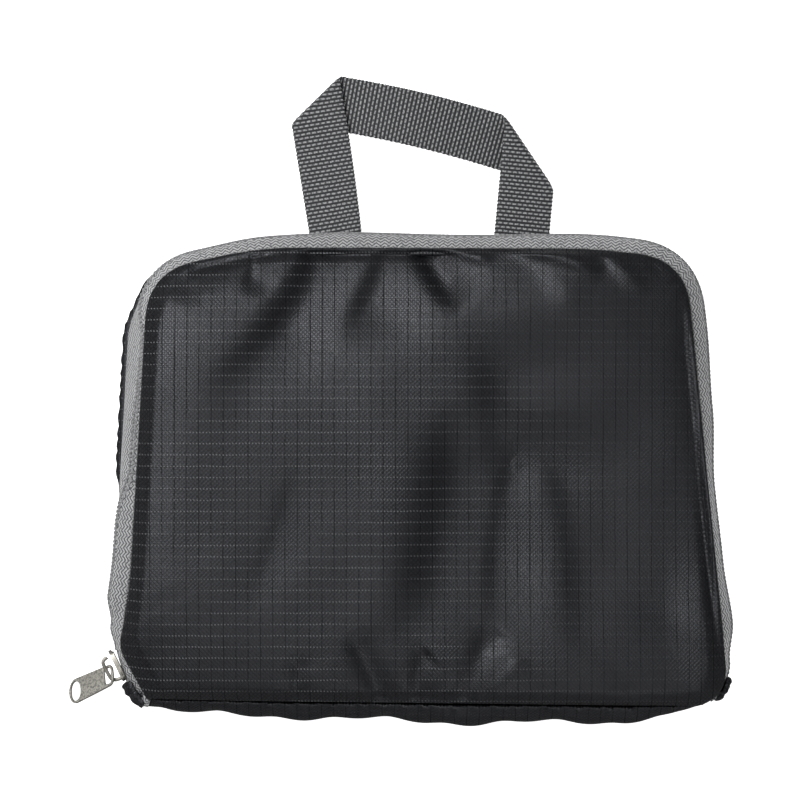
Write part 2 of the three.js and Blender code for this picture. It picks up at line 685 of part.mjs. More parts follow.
// A closed outline with round corners, its low side at x = from, as a list of points.
function roundedOutline(from, { along, across, corner }, steps) {
  const points = [];
  const centres = [
    [from + along - corner, across / 2 - corner, 0],
    [from + corner, across / 2 - corner, 90],
    [from + corner, corner - across / 2, 180],
    [from + along - corner, corner - across / 2, 270],
  ];
  for (const [x, y, turn] of centres) {
    for (let i = 0; i <= steps; i++) {
      const angle = radians(turn + (90 * i) / steps);
      points.push(new THREE.Vector2(x + corner * Math.cos(angle), y + corner * Math.sin(angle)));
    }
  }
  return points;
}

function pullGeometry() {
  const farEnd = PULL_LENGTH - pullNear;
  const endRadius = PULL_WIDTH / 2;
  const side = eyeEndWidth / 2;
  const corner = PULL_EYE_CORNER;
  const shape = new THREE.Shape();
  shape.moveTo(corner - pullNear, -side);
  shape.lineTo(farEnd - endRadius, -endRadius);
  shape.absarc(farEnd - endRadius, 0, endRadius, -Math.PI / 2, Math.PI / 2, false);
  shape.lineTo(corner - pullNear, side);
  shape.quadraticCurveTo(-pullNear, side, -pullNear, side - corner);
  shape.lineTo(-pullNear, corner - side);
  shape.quadraticCurveTo(-pullNear, -side, corner - pullNear, -side);
  const fingerFrom = farEnd - PULL_RIM - fingerHole.along;
  shape.holes.push(new THREE.Path(roundedOutline(-eyeNear, eyeHole, 3)));
  shape.holes.push(new THREE.Path(roundedOutline(fingerFrom, fingerHole, 5)));
  const options = { depth: PULL_THICKNESS, bevelEnabled: false, curveSegments: 12 };
  return new THREE.ExtrudeGeometry(shape, options).translate(0, 0, -PULL_THICKNESS / 2);
}

const pullPivot = bridgePoints[2].clone().lerp(bridgePoints[3], PULL_STATION).applyMatrix4(sliderFrame);

// The pull's turn when its far end slopes down by an angle. It lies rolled, because its eye is round the
// bridge.
function pullTurn(slope) {
  return new THREE.Quaternion().setFromEuler(
    new THREE.Euler(radians(PULL_ROLL), radians(slope), radians(PULL_AZIMUTH), "ZYX"),
  );
}

function lowestOfPull(geometry, slope) {
  const turn = pullTurn(slope);
  const place = new THREE.Vector3();
  const position = geometry.getAttribute("position");
  let lowest = Infinity;
  for (let i = 0; i < position.count; i++) {
    place.fromBufferAttribute(position, i).applyQuaternion(turn).add(pullPivot);
    lowest = Math.min(lowest, place.z);
  }
  return lowest;
}

// The slope at which the far end comes down to the surface that the pouch lies on.
function restingSlope(geometry) {
  let [flat, steep] = [0, STEEPEST_PULL];
  for (let i = 0; i < SLOPE_HALVINGS; i++) {
    const middle = (flat + steep) / 2;
    if (lowestOfPull(geometry, middle) > FLOOR_CLEARANCE) flat = middle;
    else steep = middle;
  }
  return flat;
}

// Handle

// Bends a flat strip over a fold line: a point past the line rolls round a cylinder and lies back above.
function foldOver(place, fold) {
  const distance = (place.x - fold.x) * fold.outX + place.y * fold.outY;
  if (distance <= 0) return place;
  const rolled = Math.min(distance / FOLD_RADIUS, Math.PI);
  const beyond = Math.max(0, distance - Math.PI * FOLD_RADIUS);
  const out = FOLD_RADIUS * Math.sin(rolled) - beyond;
  const lift = FOLD_RADIUS * (1 - Math.cos(rolled)) + POST_RISE * smoothstep(beyond, 0, POST_RISE_LENGTH);
  return new THREE.Vector3(
    place.x + fold.outX * (out - distance),
    place.y + fold.outY * (out - distance),
    place.z * (rolled < Math.PI / 2 ? 1 : -1) + lift,
  );
}

// A fold line across the webbing at x along it, turned by an angle from its run; side is the end beyond
// the fold.
function foldLine(x, angle, side) {
  const turn = radians(angle);
  return { x, skew: 1 / Math.tan(turn), outX: side * Math.sin(turn), outY: -side * Math.cos(turn) };
}

const leftFold = foldLine(-CROSSBAR_LENGTH / 2, LEFT_FOLD_ANGLE, -1);
const rightFold = foldLine(CROSSBAR_LENGTH / 2, RIGHT_FOLD_ANGLE, 1);

// The webbing's middle surface, in cross-lines that run beside its folds: along is where one meets the
// middle.
function strapPoint(along, across) {
  const half = CROSSBAR_LENGTH / 2;
  const part = smoothstep(along, -half, half);
  const skew = leftFold.skew + (rightFold.skew - leftFold.skew) * part;
  const lift = CROSSBAR_LIFT * Math.max(0, Math.cos((Math.PI * along) / CROSSBAR_LENGTH)) ** 2;
  const flat = new THREE.Vector3(along + across * skew, across, lift);
  const folded = along < 0 ? foldOver(flat, leftFold) : foldOver(flat, rightFold);
  const bowHalf = half - CROSSBAR_STRAIGHT_END;
  const bent = THREE.MathUtils.clamp(folded.x, -bowHalf, bowHalf);
  const radius = (2 * bowHalf) / radians(CROSSBAR_BOW);
  const bow = bent / radius;
  const beyond = folded.x - bent;
  const x = (radius + folded.y) * Math.sin(bow) + beyond * Math.cos(bow);
  const y = (radius + folded.y) * Math.cos(bow) - beyond * Math.sin(bow) - radius;
  const turn = radians(CROSSBAR_ANGLE);
  return new THREE.Vector3(
    HANDLE_OFFSET + x * Math.cos(turn) - y * Math.sin(turn),
    POUCH_HEIGHT / 2 + HANDLE_REACH + x * Math.sin(turn) + y * Math.cos(turn),
    FLOOR_CLEARANCE + WEBBING_WALL / 2 + folded.z,
  );
}

// The webbing is finely stepped round its folds and coarsely elsewhere.
function strapSteps() {
  const half = CROSSBAR_LENGTH / 2;
  const roll = (Math.PI * FOLD_RADIUS) / Math.sin(radians(LEFT_FOLD_ANGLE));
  const rightRoll = (Math.PI * FOLD_RADIUS) / Math.sin(radians(RIGHT_FOLD_ANGLE));
  const stops = [-half - POST_LENGTH, -half - roll, -half, half, half + rightRoll, half + POST_LENGTH];
  const counts = [6, FOLD_STEPS, 8, FOLD_STEPS, 6];
  const steps = [];
  counts.forEach((count, k) => {
    for (let i = 0; i < count; i++) steps.push(stops[k] + ((stops[k + 1] - stops[k]) * i) / count);
  });
  return [...steps, stops[stops.length - 1]];
}

function strapBody() {
  const sideOf = (distance) =>
    strapSteps().map((along) =>
      Array.from({ length: STRAP_ROWS + 1 }, (_, j) => {
        const across = WEBBING_WIDTH * (0.5 - j / STRAP_ROWS);
        const run = strapPoint(along + STRAP_LOOK, across).sub(strapPoint(along - STRAP_LOOK, across));
        const rise = strapPoint(along, across + STRAP_LOOK).sub(strapPoint(along, across - STRAP_LOOK));
        const normal = run.cross(rise).normalize();
        return strapPoint(along, across).addScaledVector(normal, distance);
      }),
    );
  return sheetBody(sideOf(WEBBING_WALL / 2), sideOf(-WEBBING_WALL / 2));
}

// The pouch's outer form, a little larger all round, which the handle is cut back to.
function pouchRoom() {
  const sides = PANEL_SIDES;
  const ring = (part) =>
    Array.from({ length: sides }, (_, i) => {
      const spill = part === 1 ? BACK_SPILL * bandValue("spill", -i / sides) : 0;
      return bandPoint(-i / sides, part, -HANDLE_GAP - spill);
    });
  const rings = Array.from({ length: ROOM_ROWS + 1 }, (_, k) => ring(k / ROOM_ROWS));
  rings.push(rings[rings.length - 1].map((p) => p.clone().setZ(-BACK_SEAM_HEIGHT)));
  const low = new THREE.Vector3(0, 0, -BACK_SEAM_HEIGHT);
  const high = new THREE.Vector3(0, 0, 2 * ZIP_BAND_RISE);
  return solidOf(ringBody(high, rings, low));
}

// Assembly

const backpack = new THREE.Group();

function addPiece(parent, name, geometry, material) {
  const mesh = new THREE.Mesh(geometry, material);
  mesh.name = name;
  parent.add(mesh);
  return mesh;
}

const cut = (geometry, ...rooms) =>
  geometryOfSolid(rooms.reduce((solid, room) => solid.subtract(room), solidOf(geometry)));

addPiece(backpack, "front_panel", frontPanel, CLOTH);
addPiece(backpack, "back_panel", backPanelGeometry(), CLOTH);
addPiece(backpack, "base_band", baseBand, CLOTH);
addPiece(backpack, "zip_tape_front", cut(frontTape, sliderRoom), TAPE);
addPiece(backpack, "zip_tape_back", cut(backTape, sliderRoom), TAPE);
addPiece(backpack, "zip_chain", cut(zipChain, sliderRoom, neckSlot()), COIL);
addPiece(backpack, "zip_end_tab_left", leftEndTab, CLOTH);
addPiece(backpack, "zip_end_tab_right", rightEndTab, CLOTH);
addPiece(backpack, "packed_bag", packedBag(), CLOTH);
addPiece(backpack, "handle", cut(strapBody(), pouchRoom()), WEBBING);

const sliderGroup = new THREE.Group();
sliderGroup.position.setFromMatrixPosition(sliderFrame);
sliderGroup.quaternion.setFromRotationMatrix(sliderFrame);
addPiece(sliderGroup, "zip_slider", geometryOfSolid(slider), METAL);
backpack.add(sliderGroup);

const pull = addPiece(backpack, "zip_pull", pullGeometry(), METAL);
pull.position.copy(pullPivot);
pull.quaternion.copy(pullTurn(restingSlope(pull.geometry)));

export default backpack;
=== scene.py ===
"""A packed backpack in its own zipped pouch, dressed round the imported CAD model.

Lengths are millimetres until a mesh is made. +Y points to the carry handle and +Z out of the front panel.
A share is a part of the way round the pouch's seam, clockwise from the lower left corner.
"""

import math

import bmesh
import bpy
import numpy as np
from mathutils import Matrix, Vector


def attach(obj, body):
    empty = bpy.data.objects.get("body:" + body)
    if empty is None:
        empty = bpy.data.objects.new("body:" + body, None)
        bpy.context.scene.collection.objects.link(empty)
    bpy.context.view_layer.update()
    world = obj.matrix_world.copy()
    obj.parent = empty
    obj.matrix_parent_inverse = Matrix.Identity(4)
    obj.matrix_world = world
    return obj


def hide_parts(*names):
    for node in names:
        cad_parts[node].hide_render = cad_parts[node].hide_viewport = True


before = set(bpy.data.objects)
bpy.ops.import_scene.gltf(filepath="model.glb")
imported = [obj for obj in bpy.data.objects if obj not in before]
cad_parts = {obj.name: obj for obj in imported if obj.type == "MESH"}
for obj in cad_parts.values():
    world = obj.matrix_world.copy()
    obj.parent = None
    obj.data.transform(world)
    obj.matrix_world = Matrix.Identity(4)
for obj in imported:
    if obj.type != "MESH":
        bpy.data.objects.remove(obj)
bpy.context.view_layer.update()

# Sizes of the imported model

POUCH_WIDTH, POUCH_HEIGHT = 224, 176
BACK_SEAM_HEIGHT, BAND_RISE = 8, 22
FRONT_CROWN, FRONT_FULLNESS = 11, 3
BACK_ROUNDING, BACK_SPILL = 16, 1.8
BAND_BELLY, BACK_LEAN = 8, 8
CHAIN_WIDTH = 5.6
CHAIN_HALF = CHAIN_WIDTH / 2
ZIP_START, ZIP_END = 0.006, 0.704
SLIDER_LENGTH, SLIDER_WIDTH, SLIDER_PLATE = 12, 9.6, 1.1
SLIDER_FROM_START = 11
CHANNEL_HALF, SLOT_HALF = 1.35, 0.85
BRIDGE_WIDTH, BRIDGE_THICKNESS, BRIDGE_HEIGHT = 1.6, 1.3, 4.3
PULL_LENGTH, PULL_WIDTH, PULL_THICKNESS = 27.4, 9.2, 0.8
WEBBING_WIDTH, WEBBING_WALL, WEBBING_ROW = 20, 1.3, 1.45
CROSSBAR_LENGTH, POST_LENGTH, FOLD_RADIUS = 74, 66, 1.5

PANEL_CORNERS = [  # x, y and rounding, as shares of half the width and height
    (-0.874, -0.905, 0),
    (-0.963, -0.7, 0.05),
    (-0.927, -0.46, 0.14),
    (-0.869, 0.836, 0.2),
    (-0.504, 0.93, 0.15),
    (0.542, 0.926, 0.12),
    (0.846, 0.886, 0.2),
    (0.99, -0.934, 0.18),
]

BAND_ROWS = [  # share, belly, lean, rise, spill
    (0, 0.46, 0.1, 0.86, 0.2),
    (0.008, 0.62, 0.14, 0.88, 0.2),
    (0.03, 0.36, 0.2, 0.92, 0.2),
    (0.039, 0.64, 0.2, 0.95, 0.2),
    (0.055, 1, 0.3, 1, 0.2),
    (0.09, 0.93, 0.6, 1, 0.4),
    (0.125, 0.5, 0.98, 1, 1),
    (0.188, 0.24, 1, 1, 1),
    (0.21, 0.5, 0.62, 0.95, 0.6),
    (0.235, 0.56, 0.2, 0.92, 0.3),
    (0.28, 0.64, 0.1, 1, 0.3),
    (0.32, 0.76, 0.1, 1, 0.3),
    (0.38, 0.66, 0.1, 1, 0.3),
    (0.45, 0.74, 0.1, 0.98, 0.3),
    (0.48, 0.72, 0.1, 0.92, 0.3),
    (0.52, 0.78, 0.1, 0.98, 0.3),
    (0.56, 0.66, 0.05, 1, 0.3),
    (0.6, 0.4, 0.05, 1, 0.3),
    (0.64, 0.44, 0.05, 1, 0.3),
    (0.67, 0.6, 0.1, 0.98, 0.3),
    (0.69, 0.3, 0.05, 0.9, 0.2),
    (0.705, 0.15, 0.05, 0.86, 0.2),
    (0.718, 0.12, 0.05, 0.86, 0.2),
    (0.736, 0.58, 0.05, 0.9, 0.3),
    (0.76, 0.9, 0.1, 1, 0.3),
    (0.84, 0.96, 0.1, 1, 0.3),
    (0.93, 0.82, 0.1, 1, 0.3),
    (0.985, 0.62, 0.1, 0.9, 0.3),
    (1, 0.46, 0.1, 0.86, 0.2),
]
BAND = np.array(BAND_ROWS)
BELLY, LEAN, RISE, SPILL = 1, 2, 3, 4

# Broad folds of the front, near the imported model's: the middle in halves of the width and height, the half length
# and half width in halves of the height, the turn, and the depth as a share of the crown.
BROAD_FOLDS = [
    (0.25, -0.36, 0.5, 0.15, 86, -0.05),
    (-0.1, -0.18, 0.55, 0.15, 82, 0.12),
    (0.48, -0.26, 0.5, 0.17, 97, 0.07),
]

# Sharper creases of the front, in millimetres: three points of the line, the width of the step beside it, how far
# the cloth falls to the right of the line (below zero where it rises), and how many widths it takes to level out.
CREASES = [
    (-42, 81, -47, 64, -69, 37, 7.6, 7.4, 3),
    (-15, 81, -19, 68, -27, 52, 6.5, 4.4, 3),
    (-2, 81, 4, 70, 12, 59, 5.4, 6.6, 2.2),
    (-59, 80, -61, 73, -63, 66, 4.2, 3, 2),
    (-78, 76, -84, 72, -89, 65, 3.8, 2.6, 2),
    (-77, 76, -78, 71, -78, 66, 2.4, 0.4, 2),
    (-48, 81, -51, 76, -53, 73, 2.6, 0.5, 2),
    (-36, 81, -33, 78, -31, 75, 2.6, 0.6, 2),
    (-24, 81, -22, 78, -19, 76, 2.4, 0.5, 2),
    (14, 79, 19, 77, 25, 75, 3.4, -2.4, 2),
    (38, 80, 46, 69, 54, 55, 7, -2.2, 2),
    (44, 78, 53, 75, 62, 71, 4.6, -4.6, 1.6),
    (65, 79, 71, 72, 78, 65, 3.6, -2.2, 1.4),
    (78, 78, 82, 75, 86, 70, 2.4, 0.5, 1.6),
    (67, 68, 74, 56, 82, 44, 6, 0.3, 3),
    (20, 50, 24, 22, 27, -4, 13, 5.2, 8),
    (9, 22, 3.5, -10, -5.5, -50, 13, 7.8, 11),
    (35, 17, 26.5, -14, 24, -52, 4.8, 1.6, 4.6),
    (42, 14, 51, -19, 53, -61, 9, 3, 4),
    (-45, 4, -53, -19, -61, -43, 5, 0.9, 3),
    (-45, -64, -45, -70, -46, -77, 4.6, 2.8, 1),
    (-26, -58, -22, -66, -17, -77, 6, 3.8, 1.2),
    (1, -60, -2, -66, -3, -77, 5, 3, 1.4),
    (22, -53, 18, -65, 11, -77, 6, 2.8, 1),
    (27, -54, 25, -58, 24, -62, 4.4, 0.9, 1.2),
    (35, -63, 30, -69, 23, -78, 4, -1.3, 1.4),
    (-37, -58, -39, -63, -41, -69, 4, 0.4, 1.6),
    (-69, -58, -72, -65, -75, -72, 4, 0.3, 2),
]
NEAR_SEAM = 75  # a crease that starts above this or ends below it runs on to the seam

chance = np.random.default_rng(11)


def add_object(name, data):
    """A new object in the scene."""
    made = bpy.data.objects.new(name, data)
    bpy.context.scene.collection.objects.link(made)
    return made


# Camera and light

PHOTO_PIXELS = 800
PHOTO_SCALE, SCALE_HEIGHT = 0.36, 20  # millimetres to a pixel of the photograph, at that height above the floor
SENSOR_WIDTH = 36
CAMERA_PLACE = (-7.2, 27.4, 1300)
camera_data = bpy.data.cameras.new("camera")
camera_data.sensor_width = SENSOR_WIDTH
camera_data.lens = SENSOR_WIDTH * (CAMERA_PLACE[2] - SCALE_HEIGHT) / (PHOTO_SCALE * PHOTO_PIXELS)
camera = add_object("camera", camera_data)
camera.location = Vector(CAMERA_PLACE) / 1000
bpy.context.scene.camera = camera
bpy.context.scene.view_settings.view_transform = "Standard"


# Square soft lights that point at the pouch: name, place in metres, size, watts
LIGHTS = [
    ("light_left", (-0.47, 0.38, 0.9), 0.55, 11),
    ("light_front", (0.5, -1.3, 0.9), 0.8, 5),
    ("light_right", (1.2, 0.2, 0.9), 0.9, 5),
]
for name, place, size, power in LIGHTS:
    data = bpy.data.lights.new(name, "AREA")
    data.shape, data.size, data.energy = "SQUARE", size, power
    light = add_object(name, data)
    light.location = place
    light.rotation_mode = "QUATERNION"
    light.rotation_quaternion = (-Vector(place)).to_track_quat("-Z", "Y")
light.visible_glossy = False  # the last one only fills the shadows
world = bpy.data.worlds.new("studio")
world.use_nodes = True
background = world.node_tree.nodes["Background"]
background.inputs["Color"].default_value = (1, 1, 1, 1)
background.inputs["Strength"].default_value = 0.1
bpy.context.scene.world = world


# Materials


class Value:
    """What a shader node gives out. A sum with it adds a node."""

    def __init__(self, shader, socket):
        self.shader, self.socket = shader, socket

    def __add__(self, other):
        return self.shader.math("ADD", self, other)

    def __sub__(self, other):
        return self.shader.math("SUBTRACT", self, other)

    def __rsub__(self, other):
        return self.shader.math("SUBTRACT", other, self)

    def __mul__(self, other):
        return self.shader.math("MULTIPLY", self, other)


class Shader:
    """A material whose nodes are written as sums. Lengths in it are millimetres of cloth."""

    def __init__(self, name, **sockets):
        self.material = bpy.data.materials.new(name)
        self.material.use_nodes = True
        self.tree = self.material.node_tree
        self.surface = self.tree.nodes["Principled BSDF"]
        for key, value in sockets.items():
            self.surface.inputs[key.replace("_", " ")].default_value = value

    def feed(self, socket, value):
        if isinstance(value, Value):
            self.tree.links.new(value.socket, socket)
        else:
            socket.default_value = value

    def value(self, kind, inputs, out=0, **settings):
        """What a new node with these inputs and settings gives out."""
        node = self.tree.nodes.new("ShaderNode" + kind)
        for key, value in settings.items():
            setattr(node, key, value)
        for key, value in inputs.items():
            self.feed(node.inputs[key], value)
        return Value(self, node.outputs[out])

    def math(self, operation, *values):
        return self.value("Math", dict(enumerate(values)), operation=operation)

    def weave(self):
        """How far a point lies along the cloth's first and second threads."""
        place = self.value("UVMap", {}, uv_map="Weave")
        return [self.value("SeparateXYZ", {0: place}, out=axis) for axis in (0, 1)]

    def noise(self, scale, detail, roughness=0.5, stretch=(1, 1, 1), on_cloth=True):
        """Noise over the cloth's threads, or else over the piece in metres."""
        if on_cloth:
            place = self.value("UVMap", {}, uv_map="Weave")
        else:
            place = self.value("TexCoord", {}, out="Object")
        place = self.value("VectorMath", {0: place, 1: stretch}, operation="MULTIPLY")
        return self.value("TexNoise", {"Vector": place, "Scale": scale, "Detail": detail, "Roughness": roughness})

    def mix(self, part, low, high):
        """A colour between low and high."""
        low, high = (colour if isinstance(colour, Value) else (*colour, 1) for colour in (low, high))
        return self.value("Mix", {"Factor": part, "A": low, "B": high}, out="Result", data_type="RGBA")

    def ease(self, value, low, high):
        """0 below low, 1 above high, smooth between them."""
        inputs = {"Value": value, "From Min": low, "From Max": high}
        return self.value("MapRange", inputs, interpolation_type="SMOOTHSTEP")

    def line(self, value, pitch, width):
        """1 on a line, 0 away from it, for lines a pitch apart."""
        return 1 - self.ease(self.math("PINGPONG", value, pitch / 2), width / 4, width / 2)

    def finish(self, colour, roughness, relief, depth):
        """Feeds the surface and gives back the material. The relief goes from 0 to 1, for that depth."""
        bump = self.value("Bump", {"Distance": depth / 1000, "Strength": 1, "Height": relief})
        for name, value in (("Base Color", colour), ("Roughness", roughness), ("Normal", bump)):
            self.feed(self.surface.inputs[name], value)
        return self.material


def ripstop(name, base, light_dots_and_glint, dark_threads):
    """Satin nylon with a grid of heavier threads: light dots across, partly the threads' own colour and partly painted
    highlight that fades towards the right, and thin dark lines along.
    """
    s = Shader(name, Specular_IOR_Level=0.52, Specular_Tint=(0.92, 0.94, 1.0, 1.0))
    u, v = s.weave()
    wander = (s.noise(0.09, 2) - 0.5) * 0.7
    upright = s.line(u + wander, 4.35, 0.46)
    level = s.line(v + wander, 4.0, 0.56)
    dots = s.line(u + v * 0.3, 1.16, 0.62)
    dotted = level * dots
    streaks = s.noise(1, 3, 0.6, (1.2, 0.12, 1))
    threads = s.noise(1, 2, 0.75, (0.9, 0.8, 1))
    knots = s.line(u + v, 1.54, 1.4) * s.line(u - v, 1.54, 1.4)
    shade = s.ease(streaks * 0.25 + threads * 0.85, 0.4, 0.72)
    tone = s.mix(shade, [c * 0.2 for c in base], [c * 2.4 for c in base])
    tone = s.mix(knots * 0.6, tone, [c * 4.5 for c in base])
    tone = s.mix(upright * (s.ease(streaks, 0.25, 0.55) * 0.9), tone, dark_threads)
    tone = s.mix(level * (1 - dots) * 0.7, tone, dark_threads)
    patch = s.ease(s.noise(1, 2, 0.5, (0.03, 0.03, 1)), 0.3, 0.6)
    shown = (patch * 0.6 + 0.16) * (1 - s.ease(u, -20, 80) * 0.75)  # painted highlight: the light dots fade towards the right, away from the lamps at the left
    tone = s.mix(dotted * shown, tone, light_dots_and_glint)
    weak = s.ease(s.noise(1, 2, 0.5, (0.35, 0.05, 1)), 0.35, 0.6)
    rough = streaks * 0.1 + 0.49 - knots * 0.13 + upright * (weak * 0.25 + 0.2)
    relief = dotted * 0.6 + knots * 0.5 + threads * 0.8 - upright * weak * 0.3
    return s.finish(tone, rough, relief, 0.15)


def tape_cloth():
    """Woven zip tape: a herringbone of light dashes on grey."""
    s = Shader("zip_tape", Specular_IOR_Level=0.3, Sheen_Weight=0.1, Sheen_Roughness=0.5)
    u, v = s.weave()
    fibre = s.noise(1.6, 3, 0.6, (1.5, 1.5, 1))
    zigzag = s.math("PINGPONG", u + fibre * 0.8, 1.5)
    rib = s.line(v + zigzag * 1.1, 1.72, 1.35)
    bright = rib * s.ease(s.noise(1.1, 2), 0.3, 0.5)
    tone = s.mix(s.ease(fibre, 0.3, 0.7), (0.09, 0.092, 0.097), (0.15, 0.152, 0.158))
    tone = s.mix(bright * 0.95, tone, (0.43, 0.433, 0.44))
    tone = s.mix((1 - rib) * 0.75, tone, (0.045, 0.046, 0.05))
    return s.finish(tone, fibre * 0.2 + 0.62, rib * 0.8 + fibre * 0.4, 0.09)


def coil_thread():
    """Knitted stitches over the coil."""
    s = Shader("zip_coil", Specular_IOR_Level=0.4, Sheen_Weight=0.1)
    fibre = s.noise(1, 3, 0.6, (900, 900, 900), on_cloth=False)
    tone = s.mix(s.ease(fibre, 0.3, 0.7), (0.15, 0.152, 0.157), (0.3, 0.302, 0.308))
    return s.finish(tone, fibre * 0.2 + 0.5, fibre, 0.06)


def webbing_cloth():
    """Dark webbing whose lighter yarns show as short dashes in rows across it."""
    s = Shader("webbing", Specular_IOR_Level=0.3, Sheen_Weight=0.12, Sheen_Roughness=0.5)
    u, v = s.weave()
    fibre = s.noise(2, 3, 0.6, (1.2, 1.2, 1))
    row = s.line(u + (s.noise(0.8, 2) - 0.5) * 0.5, WEBBING_ROW, 0.8)
    between_rows = u + WEBBING_ROW / 2
    row_number = s.math("FLOOR", s.math("DIVIDE", between_rows, WEBBING_ROW))
    fleck = row * s.line(v + row_number * 1.1, 2.0, 1.75)
    gap = s.line(between_rows, WEBBING_ROW, 0.8)
    tone = s.mix(s.ease(fibre, 0.3, 0.7), (0.045, 0.046, 0.05), (0.085, 0.087, 0.093))
    tone = s.mix(gap * 0.9, tone, (0.011, 0.0115, 0.013))
    tone = s.mix(fleck * s.ease(fibre, 0.25, 0.6) * 0.95, tone, (0.42, 0.423, 0.43))
    return s.finish(tone, fibre * 0.25 + 0.55, fleck + fibre * 0.35, 0.16)


def nickel(name, polish, grain, dark, light):
    """Plated metal, from polished to grainy."""
    s = Shader(name, Metallic=0.8)
    specks = s.noise(1, 4, 0.65, (1400, 1400, 1400), on_cloth=False)
    haze = s.noise(1, 3, 0.5, (160, 160, 160), on_cloth=False)
    plate = s.mix(s.ease(haze, 0.3, 0.7), dark, light)
    tone = s.mix(s.ease(specks, 0.55, 0.4) * grain, plate, (0.4, 0.385, 0.34))
    return s.finish(tone, haze * 0.1 + polish + specks * (grain * 0.3), specks, 0.09 * grain + 0.004)


# In both ripstops the light dot colour is partly the threads' own and partly painted highlight.
CLOTH = ripstop("ripstop", (0.0037, 0.0038, 0.0045), (0.18, 0.183, 0.192), (0.001, 0.001, 0.0013))
LINING = ripstop("packed_cloth", (0.0055, 0.0056, 0.0064), (0.04, 0.041, 0.045), (0.001, 0.001, 0.0013))
TAPE = tape_cloth()
COIL = coil_thread()
WEBBING = webbing_cloth()
POLISHED = nickel("polished_nickel", 0.38, 0.1, (0.27, 0.26, 0.23), (0.4, 0.388, 0.35))
GRAINY = nickel("grainy_nickel", 0.34, 1.0, (0.74, 0.72, 0.65), (0.88, 0.86, 0.79))


# Turning points into pieces


def grid_faces(rows, columns, closed=False):
    """Quads of a grid of points, row by row; closed joins the last column to the first."""
    row = np.arange(rows - 1)[:, None] * columns
    column = np.arange(columns if closed else columns - 1)[None, :]
    a = row + column
    b = row + (column + 1) % columns
    return np.stack([a, b, b + columns, a + columns], -1).reshape(-1, 4)


def add_piece(name, mesh, body, replaces=()):
    """A mesh as a piece that rides one of the model's bodies."""
    piece = add_object(name, mesh)
    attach(piece, body)
    if replaces:
        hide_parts(*replaces)
    return piece


def make_piece(name, points, faces, material, uv=None, replaces=()):
    """A smooth piece of the pouch with its faces turned outwards."""
    mesh = bpy.data.meshes.new(name)
    points = np.asarray(points, float).reshape(-1, 3) / 1000
    mesh.from_pydata(points.tolist(), [], [list(map(int, face)) for face in faces])
    if uv is not None:
        corners = np.empty(len(mesh.loops), int)
        mesh.loops.foreach_get("vertex_index", corners)
        layer = mesh.uv_layers.new(name="Weave")
        layer.data.foreach_set("uv", np.asarray(uv, float).reshape(-1, 2)[corners].ravel())
    work = bmesh.new()
    work.from_mesh(mesh)
    bmesh.ops.recalc_face_normals(work, faces=work.faces)
    work.to_mesh(mesh)
    work.free()
    mesh.shade_smooth()
    mesh.materials.append(material)
    return add_piece(name, mesh, "pouch", replaces)


def sheet_mesh(outer, inner, uv):
    """Points, faces and weave of a sheet with two faces and closed edges."""
    rows, columns = outer.shape[:2]
    points = np.concatenate([outer.reshape(-1, 3), inner.reshape(-1, 3)])
    front = grid_faces(rows, columns)
    back = front[:, ::-1] + rows * columns
    border = [np.arange(columns - 1), np.arange(1, rows) * columns - 1]
    border += [(rows - 1) * columns + np.arange(columns - 1, 0, -1), np.arange(rows - 1, 0, -1) * columns]
    border = np.concatenate(border)
    after = np.roll(border, -1)
    rim = np.stack([border, border + rows * columns, after + rows * columns, after], -1)
    return points, np.concatenate([front, back, rim]), np.concatenate([uv.reshape(-1, 2)] * 2)


def sheet_piece(name, node, strip, material, flat):
    """A piece of cloth or webbing, from its two faces and its weave; flat is its size in millimetres, which is not
    used.
    """
    points, faces, uv = sheet_mesh(*strip)
    piece = make_piece(name, points, faces, material, uv=uv, replaces=[node])
    flat[0] / 1000
    flat[1] / 1000


def padded_piece(name, node, middle, rings, material, bottom=None):
    """A padded piece of closed rings round a middle point, and a bottom point where it has one."""
    count, sides = rings.shape[:2]
    points = np.concatenate([[middle], rings.reshape(-1, 3)])
    faces = [list(face) for face in grid_faces(count, sides, closed=True) + 1]
    faces += [[0, 1 + i, 1 + (i + 1) % sides] for i in range(sides)]
    if bottom is not None:
        last = len(points)
        points = np.concatenate([points, [bottom]])
        faces += [[last, last - sides + (i + 1) % sides, last - sides + i] for i in range(sides)]
    piece = make_piece(name, points, faces, material, uv=points[:, :2], replaces=[node])


def shifted(ring, outward, out, down):
    """A ring moved outwards and down."""
    return ring + np.concatenate([outward * out, np.full((len(ring), 1), -down)], 1)


def smooth(value, low=0.0, high=1.0):
    part = np.clip((value - low) / (high - low), 0, 1)
    return part * part * (3 - 2 * part)


def unit(vectors):
    return vectors / np.linalg.norm(vectors, axis=-1, keepdims=True)


def curve_point(a, b, c, t):
    """The curve that leaves a towards b and reaches c from it."""
    return (1 - t) ** 2 * a + 2 * t * (1 - t) * b + t**2 * c


def curve_run(a, b, c, t):
    """The way that the curve runs."""
    return 2 * (1 - t) * (b - a) + 2 * t * (c - b)


# The pouch's form


def seam_line():
    """Dense points of the front panel's seam and their distances along it."""
    half = np.array([POUCH_WIDTH, POUCH_HEIGHT]) / 2
    corners = [(np.array([x, y]) * half, reach * half[1]) for x, y, reach in PANEL_CORNERS]
    line = [corners[0][0]]
    t = np.linspace(0, 1, 400)[1:, None]
    for i in range(1, len(corners)):
        point, reach = corners[i]
        start = point + unit(corners[i - 1][0] - point) * reach
        end = point + unit(corners[(i + 1) % len(corners)][0] - point) * reach
        line.extend(line[-1] + (start - line[-1]) * t)
        line.extend(curve_point(start, point, end, t))
    line.extend(line[-1] + (corners[0][0] - line[-1]) * t)
    line = np.array(line)
    return line, np.concatenate([[0], np.cumsum(np.linalg.norm(np.diff(line, axis=0), axis=1))])


